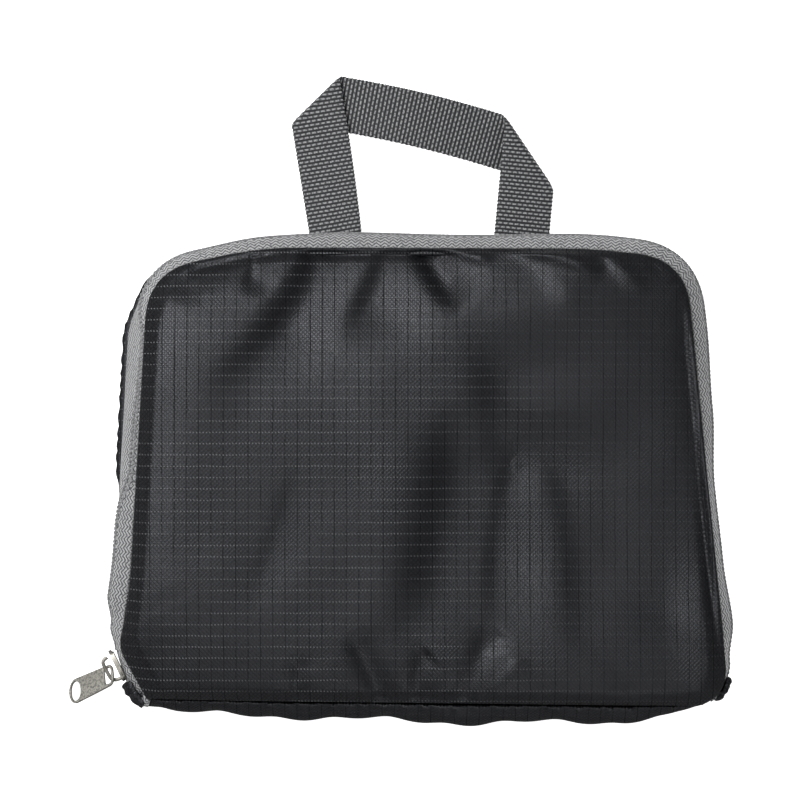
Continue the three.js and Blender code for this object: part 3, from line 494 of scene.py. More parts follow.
SEAM, SEAM_AT = seam_line()
SEAM_LENGTH = SEAM_AT[-1]


def seam_point(at):
    at = np.mod(at, SEAM_LENGTH)
    return np.stack([np.interp(at, SEAM_AT, SEAM[:, k]) for k in (0, 1)], -1)


def seam(share):
    """The seam's points and outward directions."""
    at = np.mod(share, 1) * SEAM_LENGTH
    along = unit(seam_point(at + 4) - seam_point(at - 4))
    return seam_point(at), np.stack([-along[..., 1], along[..., 0]], -1)


def band_value(column, share):
    at = np.mod(share, 1)
    k = np.clip(np.searchsorted(BAND[:, 0], at, side="right") - 1, 0, len(BAND) - 2)
    part = smooth((at - BAND[k, 0]) / (BAND[k + 1, 0] - BAND[k, 0]))
    return BAND[k, column] + (BAND[k + 1, column] - BAND[k, column]) * part


def front_seam_height(share):
    return BACK_SEAM_HEIGHT + BAND_RISE * band_value(RISE, share)


def base_ripple(share):
    along = (np.mod(share, 1) - ZIP_END) / (1 - ZIP_END)
    wave = np.sin(np.pi * along) * np.cos(2 * np.pi * 3.5 * (along - 0.46))
    return np.where(along < 0, 0, wave)


def left_run(share):
    """1 along the left side, where the zip is turned up beside the panel, and 0 elsewhere."""
    return smooth(share, 0.095, 0.12) * (1 - smooth(share, 0.185, 0.21))


def band_section(share):
    """The three control points of the band's curve, each as out and up."""
    top = front_seam_height(share)
    lean = BACK_LEAN * band_value(LEAN, share)
    belly = BAND_BELLY * band_value(BELLY, share) + base_ripple(share)
    shown = left_run(share)
    return (
        np.stack([np.zeros_like(top), top], -1),
        np.stack([2 * belly - lean / 2 + 3.4 * shown, (top + BACK_SEAM_HEIGHT) / 2 + 3.5 * shown], -1),
        np.stack([lean, np.full_like(top, BACK_SEAM_HEIGHT)], -1),
    )


def band_length(share):
    section = band_section(share)
    curve = [curve_point(*section, t) for t in np.linspace(0, 1, 25)]
    return sum(np.linalg.norm(after - before, axis=-1) for before, after in zip(curve, curve[1:]))


def band_point(share, part, inset):
    """Points of the band, part of the way down it and inset from its outer face."""
    share, part, inset = np.broadcast_arrays(share, part, inset)
    point, outward = seam(share)
    section, t = band_section(share), part[..., None]
    place = curve_point(*section, t)
    down = unit(curve_run(*section, t))
    out = place[..., 0] + down[..., 1] * inset
    up = place[..., 1] - down[..., 0] * inset
    up = np.maximum(up, np.minimum(place[..., 1], BACK_SEAM_HEIGHT + 0.3))
    return np.concatenate([point + outward * out[..., None], up[..., None]], -1)


def broad_fold_height(x, y):
    half = POUCH_HEIGHT / 2
    height = np.zeros_like(x)
    for fx, fy, length, width, degrees, depth in BROAD_FOLDS:
        dx, dy = x - fx * POUCH_WIDTH / 2, y - fy * half
        turn = math.radians(degrees)
        along = (dx * math.cos(turn) + dy * math.sin(turn)) / (length * half)
        across = (dy * math.cos(turn) - dx * math.sin(turn)) / (width * half)
        height += depth * FRONT_CROWN * np.exp(-(along**2 + across**2))
    return height


def crease_height(x, y):
    """The sharper creases: the cloth falls over a step's width and levels out again beyond it."""
    height = np.zeros_like(x)
    t = np.linspace(0, 1, 25)[:, None]
    for x0, y0, x1, y1, x2, y2, width, step, slack in CREASES:
        start, end = np.array([x0, y0], float), np.array([x2, y2], float)
        knee = 2 * np.array([x1, y1]) - (start + end) / 2
        line = curve_point(start, knee, end, t)
        run = curve_run(start, knee, end, t)
        length = np.linalg.norm(run, axis=1)
        run = unit(run)
        right = np.stack([-run[:, 1], run[:, 0]], 1)
        right *= np.sign(right[len(t) // 2, 0])
        reach = width * (1 + 2 * slack)
        near = (x > line[:, 0].min() - reach) & (x < line[:, 0].max() + reach)
        near &= (y > line[:, 1].min() - reach) & (y < line[:, 1].max() + reach)
        points = np.stack([x[near], y[near]], 1)
        closest = ((points[:, None] - line[None]) ** 2).sum(-1).argmin(1)
        offset = points - line[closest]
        along = t[closest, 0] + (offset * run[closest]).sum(1) / length[closest]
        across = (offset * right[closest]).sum(1) / width
        strength = np.ones(len(points))
        if y0 < NEAR_SEAM:
            strength *= smooth(along, -0.15, 0.3)
        if y2 > -NEAR_SEAM:
            strength *= 1 - smooth(along, 0.6, 1.15)
        fall = np.exp(-((np.maximum(across, 0) / slack) ** 2)) / (1 + np.exp(-4 * np.clip(across, -8, 8)))
        height[near] -= step * strength * fall
    return height


# Gathers along the front panel's seam. Each runs inwards from the seam, more slanted the further it is from
# the middle of its side.
GATHER_SIDES = [  # from share, to share, spacing, height, length
    (0.03, 0.17, 9, 0.12, 5),
    (0.17, 0.3, 4.5, 0.4, 5),
    (0.3, 0.46, 6, 0.35, 3.5),
    (0.46, 0.56, 7, 0.3, 6),
    (0.56, 0.7, 12, 0.2, 6),
    (0.71, 0.8, 4, 0.3, 2.5),
    (0.8, 0.995, 3.4, 1.2, 3.2),
]


def gather_list():
    """Each gather's place along the seam, height, length, width and lean."""
    found = []
    for start, end, spacing, height, length in GATHER_SIDES:
        at = start * SEAM_LENGTH
        while at < end * SEAM_LENGTH:
            rise = height * chance.uniform(0.35, 1.25) * chance.choice([-1, 1], p=[0.62, 0.38])
            reach = length * chance.uniform(0.5, 1.5)
            found.append((at, rise, reach, chance.uniform(0.9, 1.7), chance.uniform(-0.25, 0.25)))
            at += spacing * chance.uniform(0.55, 1.45)
    return found


GATHERS = gather_list()


def gather_height(x, y):
    """Small puckers of the seam, at points of the panel."""
    height = np.zeros_like(x)
    for at, rise, length, width, lean in GATHERS:
        point, outward = seam(np.array(at / SEAM_LENGTH))
        slant = lean + 0.35 * point[0] / 80 * np.sign(outward[1])
        run = unit(-outward + np.array([outward[1], -outward[0]]) * slant)
        dx, dy = x - point[0], y - point[1]
        near = (np.abs(dx) < 3 * length) & (np.abs(dy) < 3 * length)
        along = (dx[near] * run[0] + dy[near] * run[1]) / length
        across = (dy[near] * run[0] - dx[near] * run[1]) / (width * (1 + 0.5 * np.clip(along, 0, 2)))
        height[near] += rise * np.exp(-(across**2)) * np.exp(-(np.clip(along, 0, None) ** 2) * 1.2) * (along > -0.6)
    return height


def slow_noise(x, y, size, seed):
    """Smooth unevenness of about unit height."""
    draw = np.random.default_rng(seed)
    total = np.zeros_like(x)
    for _ in range(14):
        turn, phase = draw.uniform(0, 2 * np.pi, 2)
        pace = 2 * np.pi / (size * draw.uniform(0.6, 1.6))
        total += np.sin((x * math.cos(turn) + y * math.sin(turn)) * pace + phase)
    return total / 4


# Front panel

FRONT_SIDES = 620
FRONT_RADII = np.concatenate([np.linspace(0.02, 0.8, 58), 1 - np.geomspace(0.193, 0.0012, 46), [1.0]])
PANEL_HEIGHT = BACK_SEAM_HEIGHT + BAND_RISE

# The seam's distance from the middle at each share, against its average nearby, so that the crown can be even
REACH_SHARES = np.linspace(0, 1, 2001)
REACH = np.linalg.norm(seam(REACH_SHARES)[0], axis=1)[:-1]
window = np.exp(-(np.linspace(-2, 2, 201) ** 2))
even_reach = np.convolve(np.concatenate([REACH[-100:], REACH, REACH[:100]]), window / window.sum(), "valid")
REACH_PART = np.append(REACH / even_reach, REACH[0] / even_reach[0])


def left_side(share):
    """1 along the left side, where the panel rolls over steeply."""
    return smooth(share, 0.035, 0.07) * (1 - smooth(share, 0.19, 0.225))


def front_swell(x, y):
    """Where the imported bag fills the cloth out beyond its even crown."""
    upright = smooth(y, -84, -28) * (1 - smooth(y, 30, 84))
    swell = (5.0 * smooth(-x, 0, 96) + 3.6 * smooth(-x, 56, 96)) * upright
    swell = swell + (2.6 + 2.4 * smooth(-x, 0, 50)) * smooth(-y, 24, 84) + 2.0 * smooth(y, 30, 82) * smooth(-x, -20, 60)
    return swell + 4.6 * smooth(x, 86, 110) * smooth(-y, -5, 50)


def front_surface(share, r):
    point, outward = seam(share)
    x, y = point[..., 0] * r, point[..., 1] * r
    over = 0.9 * left_side(share) * smooth(r, 0.9, 0.965) * (1 - smooth(r, 0.985, 1))
    x, y = x + outward[..., 0] * over, y + outward[..., 1] * over
    height = PANEL_HEIGHT + (front_seam_height(share) - PANEL_HEIGHT) * r**6
    even = r * (1 + (np.interp(np.mod(share, 1), REACH_SHARES, REACH_PART) - 1) * (1 - smooth(r, 0.55, 0.97)))
    even = np.clip(even, 0, 1)
    fullness = FRONT_FULLNESS + 1.5 * smooth(np.abs(y), 30, 84)
    height = height + FRONT_CROWN * (0.85 * np.sqrt(1 - even**fullness) + 0.15 * (1 - even**2))
    drop = np.clip((r - 0.935) / 0.065, 0, 1)
    drop = np.where(drop < 0.12, drop**2 / 0.24, drop - 0.06) / 0.94
    folds = broad_fold_height(x, y) + crease_height(x, y) + 0.12 * slow_noise(x, y, 22, 3)
    height = height + front_swell(x, y) * (1 - drop) + folds * (1 - smooth(r, 0.965, 1))
    height = height + gather_height(x, y) * (1 - smooth(r, 0.992, 1))
    return np.stack([x, y, height], -1)


share_grid = np.linspace(0, 1, FRONT_SIDES, endpoint=False)[None, :]
front = front_surface(share_grid, FRONT_RADII[:, None])
outward = seam(share_grid[0])[1]
tuck = [shifted(front[-1], outward, out, down) for out, down in ((-0.25, 0.3), (-0.9, 0.5), (-2.2, 0.45))]
front_middle = front_surface(np.array([0.0]), np.array([0.0]))[0]
padded_piece(
    "front_cloth", "front_panel", front_middle, np.concatenate([front, np.array(tuck)]), CLOTH
)


# Back panel: it rests flat, with shallow slack folds, and rolls up round its edge

BACK_SIDES = 480


def back_surface(share, r):
    point, outward = seam(share)
    lean = BACK_LEAN * band_value(LEAN, share)
    wave = 0.5 + 0.5 * np.cos(2 * np.pi * share * SEAM_LENGTH / 5.3 + 1.4 * np.sin(share * 190))
    bumps = 0.55 * wave * smooth(share, 0.09, 0.12) * (1 - smooth(share, 0.2, 0.22))
    spill = BACK_SPILL * band_value(SPILL, share) - bumps
    corner = point + outward * lean[..., None]
    length = np.linalg.norm(corner, axis=-1)
    rounding = BACK_ROUNDING / length
    part = np.maximum(0, (r - 1 + rounding) / rounding)
    reach = BACK_ROUNDING + spill
    end_turn = np.pi - np.arcsin(np.clip(BACK_ROUNDING / reach, -1, 1))
    turn = end_turn * part
    middle = BACK_SEAM_HEIGHT / (1 - np.cos(end_turn))
    out = np.where(part > 0, 1 + (reach * np.sin(turn) - BACK_ROUNDING) / length, r)
    x, y = corner[..., 0] * out, corner[..., 1] * out
    up = middle * (1 - np.cos(turn)) * (part > 0)
    slack = np.clip(slow_noise(x, y, 46, 8), 0, None) * 0.5 + np.clip(slow_noise(x, y, 17, 5) - 0.5, 0, None) * 0.3
    slack = slack * smooth(np.hypot(x / 90, y / 70), 0.1, 0.5) * (1 - smooth(part, 0.8, 1))
    return np.stack([x, y, up + slack], -1)


back_radii = np.concatenate([np.linspace(0.02, 0.8, 34), np.linspace(0.81, 1.0, 34)])
back_shares = np.linspace(0, 1, BACK_SIDES, endpoint=False)[None, :]
back = back_surface(back_shares, back_radii[:, None])
back = np.concatenate([back, [shifted(back[-1], seam(back_shares[0])[1], -2.0, 0)]])
padded_piece("back_cloth", "back_panel", (0, 0, 0), back, CLOTH)


# Zip tapes, chain and base

TAPE_WIDTH = 12
TAPE_OVERRUN = 0.0079  # share of the seam that the tapes run on past each end of the zip
TAPE_UNDER_CHAIN = 0.2
COIL_PITCH = 1.55
BASE_DEPTH = 31


def band_strip(start, end, steps, parts, outer_inset, inner_inset, shift=None):
    """A strip of the band with two faces; parts gives its rows for each share, shift moves its outer points."""
    shares = np.linspace(start, end, steps)
    rows = parts(shares)
    grid = band_point(shares[:, None], rows, outer_inset)
    if shift is not None:
        grid = grid + shift(shares[:, None], rows)
    inner = band_point(shares[:, None], rows, inner_inset)
    step = np.abs(np.diff(grid, axis=1))
    step = np.hypot(step[..., 0], step[..., 1]) + 0.35 * step[..., 2]
    across = np.concatenate([np.zeros((steps, 1)), np.cumsum(step, axis=1)], 1)
    along = np.broadcast_to(shares[:, None] * SEAM_LENGTH, rows.shape)
    return grid, inner, np.stack([along, across], -1)


def between(low, high, count):
    """Rows between two distances down the band, each from its share and the band's length there."""

    def parts(shares):
        length = band_length(shares)
        start = np.broadcast_to(low(shares, length), shares.shape) / length
        end = np.broadcast_to(high(shares, length), shares.shape) / length
        return start[:, None] + (end - start)[:, None] * np.linspace(0, 1, count)[None, :]

    return parts


def chain_part(share):
    """How far down the band the chain's middle runs."""
    return 0.5 - 0.33 * left_run(share)


def tape_piece(name, node, low, high):
    start, end, steps = ZIP_START - TAPE_OVERRUN, ZIP_END + TAPE_OVERRUN, 780
    shares = np.linspace(start, end, steps)[:, None]
    within = smooth(shares, ZIP_START - 0.0055, ZIP_START - 0.002)
    within = within * (1 - smooth(shares, ZIP_END + 0.002, ZIP_END + 0.0055))
    lifted = 0.9 * (1 - within)
    strip = band_strip(start, end, steps, between(low, high, 12), 0.5 - lifted, 1.3 - lifted)
    sheet_piece(name, node, strip, TAPE, ((ZIP_END - ZIP_START) * SEAM_LENGTH, TAPE_WIDTH))


tape_piece(
    "tape_front",
    "zip_tape_front",
    lambda share, length: 0.5,
    lambda share, length: np.maximum(length * chain_part(share) - CHAIN_HALF + TAPE_UNDER_CHAIN, 0.6),
)
tape_piece(
    "tape_back",
    "zip_tape_back",
    lambda share, length: length * chain_part(share) + CHAIN_HALF - TAPE_UNDER_CHAIN,
    lambda share, length: length - 0.05,
)


def chain_side(side):
    """One side of the chain. The two sides part where the slider spreads them."""

    def rows(shares):
        from_start = (shares - ZIP_START) * SEAM_LENGTH
        inner = 0.1 + 1.0 * (1 - smooth(from_start, 9, 15))
        spread = inner[:, None] + (CHAIN_HALF + 0.3 - inner)[:, None] * np.linspace(0, 1, 7)[None, :]
        return chain_part(shares)[:, None] + side * spread / band_length(shares)[:, None]

    return sheet_mesh(*band_strip(ZIP_START - 0.002, ZIP_END + 0.002, 700, rows, 0.42, 1.35))


left, right = chain_side(-1), chain_side(1)
faces = np.concatenate([left[1], right[1] + len(left[0])])
points, uv = np.concatenate([left[0], right[0]]), np.concatenate([left[2], right[2]])
make_piece("chain_base", points, faces, TAPE, uv=uv, replaces=["zip_chain"])


def ball(steps=8, rings=5):
    """Points and faces of a coarse unit ball."""
    polar, turn = np.meshgrid(np.pi * np.arange(1, rings) / rings, 2 * np.pi * np.arange(steps) / steps, indexing="ij")
    points = np.stack([np.sin(polar) * np.cos(turn), np.sin(polar) * np.sin(turn), np.cos(polar)], -1).reshape(-1, 3)
    points = np.concatenate([[[0, 0, 1]], points, [[0, 0, -1]]])
    faces = [[0, 1 + j, 1 + (j + 1) % steps] for j in range(steps)]
    faces += [list(face[[0, 3, 2, 1]]) for face in grid_faces(rings - 1, steps, closed=True) + 1]
    last = len(points) - 1
    faces += [[last, last - steps + (j + 1) % steps, last - steps + j] for j in range(steps)]
    return points, faces


BALL_POINTS, BALL_FACES = ball()


def band_frames(shares, part, inset):
    """Places on the band with their directions: along the seam, down the band, out of it."""
    place = band_point(shares, part, inset)
    along = unit(band_point(shares + 0.0012, part, inset) - band_point(shares - 0.0012, part, inset))
    down = band_point(shares, part + 0.02, inset) - band_point(shares, part - 0.02, inset)
    down = unit(down - along * (down * along).sum(-1, keepdims=True))
    return place, along, down, np.cross(down, along)


def beads(name, places, along, across, out, size, slot, material):
    """One mesh of many rounded stitches, each at its place with its own directions."""
    points = places[:, None]
    for k, way in enumerate((along, across, out)):
        points = points + way[:, None] * (BALL_POINTS[None, :, k : k + 1] * size[k])
    count = len(BALL_POINTS)
    faces = [[index + k * count for index in face] for k in range(len(places)) for face in BALL_FACES]
    make_piece(name, points, faces, material)


tooth_at = np.arange(ZIP_START + 16.5 / SEAM_LENGTH, ZIP_END + 0.001, COIL_PITCH / SEAM_LENGTH)
teeth = []
for side in (-1, 1):
    part = chain_part(tooth_at) + side * 1.22 / band_length(tooth_at)
    place, along, down, out = band_frames(tooth_at + side * 0.25 * COIL_PITCH / SEAM_LENGTH, part, 0.32)
    slanted = unit(along + side * 0.42 * down)
    teeth.append((place, slanted, np.cross(out, slanted), out))
beads("chain_stitches", *map(np.concatenate, zip(*teeth)), (0.72, 0.98, 0.5), "zip_coil", COIL)

# Stitches that hold the front tape to the panel, and the base to the panel

stitch_at = np.arange(ZIP_START, ZIP_END, 1.3 / SEAM_LENGTH)
frames = band_frames(stitch_at, 0.72 / band_length(stitch_at), 0.42)
beads("tape_stitches", *frames, (0.46, 0.42, 0.26), "zip_tape", COIL)

base_from, base_to = ZIP_END + 0.004, 1 + ZIP_START - 0.004
stitch_at = np.arange(base_from, base_to, 2.3 / SEAM_LENGTH)


def base_shift(shares, parts):
    """Puckers of the base below its two seams."""
    _, outward = seam(np.broadcast_to(shares, parts.shape))
    at = shares * SEAM_LENGTH
    pulled = 0.34 * np.sin(at * 0.93 + 1.3 * np.sin(at * 0.21)) + 0.22 * np.sin(at * 1.71 + 2)
    slack = 0.5 * np.sin(at * 0.31 + parts * 5) * np.sin(np.pi * np.clip(parts, 0, 1))
    height = pulled * (np.exp(-((parts / 0.22) ** 2)) + 0.6 * np.exp(-(((1 - parts) / 0.25) ** 2))) + slack
    height = height * smooth(parts, 0.0, 0.05)
    return np.concatenate([outward * height[..., None], np.zeros(parts.shape + (1,))], -1)


base_rows = between(lambda share, length: 1.2, lambda share, length: length - 0.02, 40)
strip = band_strip(base_from - 0.003, base_to + 0.003, 380, base_rows, 0, 1.2, base_shift)
base_flat = ((base_to - base_from) * SEAM_LENGTH, BASE_DEPTH)
sheet_piece("base_cloth", "base_band", strip, CLOTH, base_flat)

part = 1.3 / band_length(stitch_at)
place, along, down, out = band_frames(stitch_at, part, 0.05)
place = place + base_shift(stitch_at[:, None], part[:, None])[:, 0]
beads("base_stitches", place, along, down, out, (0.6, 0.24, 0.16), "ripstop", LINING)


# End tabs: cloth folded over the zip's ends

TAB_HALF_WIDTH, TAB_COLUMNS, TAB_ROWS = 4.4, 44, 70
TAB_FLAT = (11, 22)


def end_tab(name, node, middle, seed, material):
    half = TAB_HALF_WIDTH / SEAM_LENGTH
    phases = np.random.default_rng(seed).uniform(0, 6, 4)
    shares = np.linspace(middle - half, middle + half, TAB_COLUMNS)[:, None]
    length = band_length(shares[:, 0])[:, None]
    down = np.linspace(0, 1, TAB_ROWS)[None, :]
    parts = 2.4 / length + (1 - 3.1 / length) * down
    sides = np.clip(1 - (((shares - middle) / half) ** 2) ** 3, 0, 1) ** 0.5
    ends = np.clip(1 - ((2 * down - 1) ** 2) ** 10, 0, 1) ** 0.5
    folds = 0.25 * np.sin(shares * SEAM_LENGTH * 2.1 + parts * 9 + phases[0])
    folds = folds + 0.2 * np.sin(parts * 26 + phases[1] + shares * SEAM_LENGTH * 0.6)
    outer = band_point(shares, parts, -0.35 - (1.35 + folds) * sides * ends)
    inner = band_point(shares, parts, -0.3)
    uv = np.stack(np.broadcast_arrays(shares * SEAM_LENGTH, parts * length), -1)
    sheet_piece(name, node, (outer, inner, uv), material, TAB_FLAT)


end_tab("end_tab_left", "zip_end_tab_left", ZIP_START, 4, LINING)
end_tab("end_tab_right", "zip_end_tab_right", ZIP_END, 9, CLOTH)


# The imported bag, folded up behind the cloth

PACK_SIDES, PACK_INSET, PACK_GAP, PACK_FLOOR = 160, 7, 11, 2.4
pack_shares = np.linspace(0, 1, PACK_SIDES, endpoint=False)
pack_seam, _ = seam(pack_shares)
pack_reach = 1 - PACK_INSET / np.linalg.norm(pack_seam, axis=1)


def pack_ring(out, height):
    place = pack_seam * (pack_reach * out)[:, None]
    folds = 0.35 * slow_noise(place[:, 0], place[:, 1], 30, 21)
    return np.concatenate([place, (height + folds)[:, None]], 1)


def pack_crown(r):
    base = PANEL_HEIGHT + (front_seam_height(pack_shares) - PANEL_HEIGHT) * r**2
    return base + FRONT_CROWN * np.sqrt(1 - r**FRONT_FULLNESS) - PACK_GAP


pack_rings = [pack_ring(out, pack_crown(pack_reach * out)) for out in np.linspace(0.05, 0.96, 22)]
pack_rings += [pack_ring(out, 8 + 19 * up) for out, up in ((1, 0.6), (1, 0.3), (0.98, 0.1))]
pack_rings += [pack_ring(out, PACK_FLOOR) for out in np.linspace(0.9, 0.05, 14)]
pack_middle = (0, 0, pack_rings[0][:, 2].mean())
pack_bottom = (0, 0, PACK_FLOOR)
padded_piece(
    "folded_bag", "packed_bag", pack_middle, np.array(pack_rings), LINING, bottom=pack_bottom
)


# Carry handle: one length of webbing folded over at both top corners

HANDLE_OFFSET, HANDLE_REACH, CROSSBAR_ANGLE, CROSSBAR_BOW, STRAIGHT_END = 0.9, 41.4, -13.5, 6, 12
CROSSBAR_LIFT, POST_RISE, POST_RISE_LENGTH = 2.2, 4.5, 49.5
LEFT_FOLD_ANGLE, RIGHT_FOLD_ANGLE = 54.9, 140.5
WEBBING_FLAT = (WEBBING_WIDTH, 190)
HANDLE_ROWS, HANDLE_STEPS, END_ROWS = 46, 620, 5


def fold_skew(along):
    """How far a cross-line leans at each place, so that it runs beside the nearer fold."""
    left, right = (1 / math.tan(math.radians(angle)) for angle in (LEFT_FOLD_ANGLE, RIGHT_FOLD_ANGLE))
    return left + (right - left) * smooth(along, -CROSSBAR_LENGTH / 2, CROSSBAR_LENGTH / 2)


def fold_over(x, y, z, fold_x, angle, side):
    """Bends a flat strip over a fold line, so that what is past it lies back above."""
    turn = math.radians(angle)
    out_x, out_y = side * math.sin(turn), -side * math.cos(turn)
    distance = (x - fold_x) * out_x + y * out_y
    rolled = np.clip(distance / FOLD_RADIUS, 0, np.pi)
    beyond = np.maximum(0, distance - np.pi * FOLD_RADIUS)
    out = FOLD_RADIUS * np.sin(rolled) - beyond
    lift = FOLD_RADIUS * (1 - np.cos(rolled)) + POST_RISE * smooth(beyond, 0, POST_RISE_LENGTH)
    past = distance > 0
    return (
        np.where(past, x + out_x * (out - distance), x),
        np.where(past, y + out_y * (out - distance), y),
        np.where(past, z * np.where(rolled < np.pi / 2, 1, -1) + lift, z),
    )


def strap_surface(along, across):
    """The webbing's middle surface, in cross-lines that run beside its folds."""
    half = CROSSBAR_LENGTH / 2
    x, y = along + across * fold_skew(along), across + 0 * along
    z = CROSSBAR_LIFT * np.clip(np.cos(np.pi * along / CROSSBAR_LENGTH), 0, None) ** 2 * (np.abs(along) < half)
    left = fold_over(x, y, z, -half, LEFT_FOLD_ANGLE, -1)
    right = fold_over(x, y, z, half, RIGHT_FOLD_ANGLE, 1)
    x, y, z = (np.where(along < 0, a, b) for a, b in zip(left, right))
    bow_half = half - STRAIGHT_END
    bent = np.clip(x, -bow_half, bow_half)
    radius = 2 * bow_half / math.radians(CROSSBAR_BOW)
    bow, beyond = bent / radius, x - bent
    bx = (radius + y) * np.sin(bow) + beyond * np.cos(bow)
    by = (radius + y) * np.cos(bow) - beyond * np.sin(bow) - radius
    turn = math.radians(CROSSBAR_ANGLE)
    place_x = HANDLE_OFFSET + bx * math.cos(turn) - by * math.sin(turn)
    place_y = POUCH_HEIGHT / 2 + HANDLE_REACH + bx * math.sin(turn) + by * math.cos(turn)
    return np.stack([place_x, place_y, 0.2 + WEBBING_WALL / 2 + z], -1)


def inside_pouch(points):
    """True for points within the pouch's outer form grown by a small gap, near its top side."""
    shares = np.linspace(0.2, 0.56, 1200)
    place, outward = seam(shares)
    section = band_section(shares)
    t = np.linspace(0, 1, 30)[:, None]
    found = []
    for p in points.reshape(-1, 3):
        nearest = np.argmin((place[:, 0] - p[0]) ** 2 + (place[:, 1] - p[1]) ** 2)
        distance = (p[:2] - place[nearest]) @ outward[nearest]
        curve = curve_point(*(control[nearest] for control in section), t)
        found.append(distance < np.interp(p[2], curve[::-1, 1], curve[::-1, 0]) + 0.35)
    return np.array(found).reshape(points.shape[:-1])


def post_end(across, side):
    """How far along the webbing runs before it meets the pouch."""
    tries = np.linspace(CROSSBAR_LENGTH / 2 + 8, CROSSBAR_LENGTH / 2 + POST_LENGTH, 90)
    inside = inside_pouch(strap_surface(side * tries, np.full_like(tries, across)))
    return tries[np.argmax(inside)] if inside.any() else tries[-1]


across = np.linspace(-WEBBING_WIDTH / 2, WEBBING_WIDTH / 2, HANDLE_ROWS)
tested = across[::END_ROWS]
left_end, right_end = (np.interp(across, tested, [post_end(a, side) for a in tested]) for side in (-1, 1))
spread = np.linspace(-1, 1, HANDLE_STEPS)[:, None]
along = np.where(spread < 0, spread * left_end[None, :], spread * right_end[None, :])
edge_wave = 0.14 * np.cos(2 * np.pi * along / WEBBING_ROW)
wide = across[None, :] * (1 + edge_wave / (WEBBING_WIDTH / 2) * (np.abs(across[None, :]) > 9))
middle = strap_surface(along, wide)
run = strap_surface(along + 0.05, wide) - strap_surface(along - 0.05, wide)
rise = strap_surface(along, wide + 0.05) - strap_surface(along, wide - 0.05)
normal = unit(np.cross(run, rise))
weave_along = along + wide * fold_skew(along)
relief = 0.11 * np.cos(2 * np.pi * weave_along / WEBBING_ROW)
rounded = np.clip(1 - np.abs(across[None, :] / (WEBBING_WIDTH / 2)) ** 14, 0.25, 1)
thick = (WEBBING_WALL / 2 - 0.12) * rounded
outer = middle + normal * (thick + relief * rounded)[..., None]
inner = middle - normal * (thick - relief * rounded)[..., None]
weave = np.stack([weave_along, wide + 0 * along], -1)
sheet_piece("carry_handle", "handle", (outer, inner, weave), WEBBING, WEBBING_FLAT)


# Slider and pull


def chain_frame(share):
    """A frame on the zip's centre line: X the way the slider closes, Z out of the band."""
    reach = SLIDER_LENGTH / 4 / SEAM_LENGTH

    def on_band(at, inset):
        return band_point(np.array(at), np.array(0.5), np.array(inset))

    centre = on_band(share, 1.0)
    closing = on_band(share - reach, 1.0) - on_band(share + reach, 1.0)
    out = unit(on_band(share, 0.0) - centre)
    along = unit(closing - out * (closing @ out))
    axes = np.stack([along, np.cross(out, along), out], 1)
    return Matrix([[*row, c] for row, c in zip(axes, centre)] + [[0, 0, 0, 1]])


SLIDER_FRAME = chain_frame(ZIP_START + SLIDER_FROM_START / SEAM_LENGTH)
PLATE_TOP = CHANNEL_HALF + SLIDER_PLATE


def metal_piece(name, build, bevel, replaces, material):
    """A metal piece in the slider's frame, with rounded edges."""
    work = bmesh.new()
    build(work)
    bmesh.ops.recalc_face_normals(work, faces=work.faces)
    mesh = bpy.data.meshes.new(name)
    work.to_mesh(mesh)
    work.free()
    mesh.transform(Matrix.Scale(0.001, 4) @ SLIDER_FRAME)
    mesh.materials.append(material)
    mesh.shade_smooth()
    piece = add_piece(name, mesh, "pouch", replaces)
    if bevel:
        rounder = piece.modifiers.new("round", "BEVEL")
        rounder.width = bevel / 1000
        rounder.segments = 3
        rounder.limit_method = "ANGLE"
        rounder.angle_limit = math.radians(35)
        piece.modifiers.new("even", "WEIGHTED_NORMAL").keep_sharp = True


def prism(work, outline, low, high):
    """A flat outline raised between two heights."""
    bottom = [work.verts.new((x, y, low)) for x, y in outline]
    top = [work.verts.new((x, y, high)) for x, y in outline]
    work.faces.new(bottom[::-1])
    work.faces.new(top)
    for i in range(len(outline)):
        j = (i + 1) % len(outline)
        work.faces.new([bottom[i], bottom[j], top[j], top[i]])


def curved(points, closed=True, steps=5):
    """A smooth line through points, as Catmull-Rom."""
    points = np.array(points, float)
    count = len(points)
    line = []
    for i in range(count if closed else count - 1):
        near = np.arange(i - 1, i + 3)
        a, b, c, d = points[near % count if closed else np.clip(near, 0, count - 1)]
        for t in np.arange(steps) / steps:
            cubic = (2 * a - 5 * b + 4 * c - d) * t**2 + (3 * b - a - 3 * c + d) * t**3
            line.append(0.5 * (2 * b + (c - a) * t + cubic))
    return np.array(line if closed else [*line, points[-1]])


def slider_outline():
    """The slider's plate: a broad front that narrows and rounds towards its rear."""
    length, width = SLIDER_LENGTH / 2, SLIDER_WIDTH / 2
    half = [(length, 1.6), (length - 0.5, 3.5), (length - 2.4, width - 0.05), (0.5, width - 0.2)]
    half += [(-3.6, width - 0.9), (-5.3, 3.0), (-length, 1.2)]
    return curved(half + [(x, -y) for x, y in half[::-1]])


def build_slider(work):
    outline = slider_outline()
    prism(work, outline, CHANNEL_HALF, PLATE_TOP)
    prism(work, outline, -PLATE_TOP, -CHANNEL_HALF)
    side = CHAIN_HALF + 0.35
    flange = [(x, y) for x, y in outline if y > side - 0.01]
    flange = [(flange[0][0], side), *flange, (flange[-1][0], side)]
    for mirror in (1, -1):
        edge = [(x, y * mirror) for x, y in flange]
        for low, high in ((SLOT_HALF, CHANNEL_HALF + 0.2), (-CHANNEL_HALF - 0.2, -SLOT_HALF)):
            prism(work, edge, low, high)
    neck_end = SLIDER_LENGTH / 2 - 0.4
    neck = [(neck_end - 3, -0.8), (neck_end, -0.8), (neck_end, 0.8), (neck_end - 3, 0.8)]
    prism(work, neck, -CHANNEL_HALF - 0.3, CHANNEL_HALF + 0.3)


metal_piece("slider_body", build_slider, 0.3, ["zip_slider"], POLISHED)

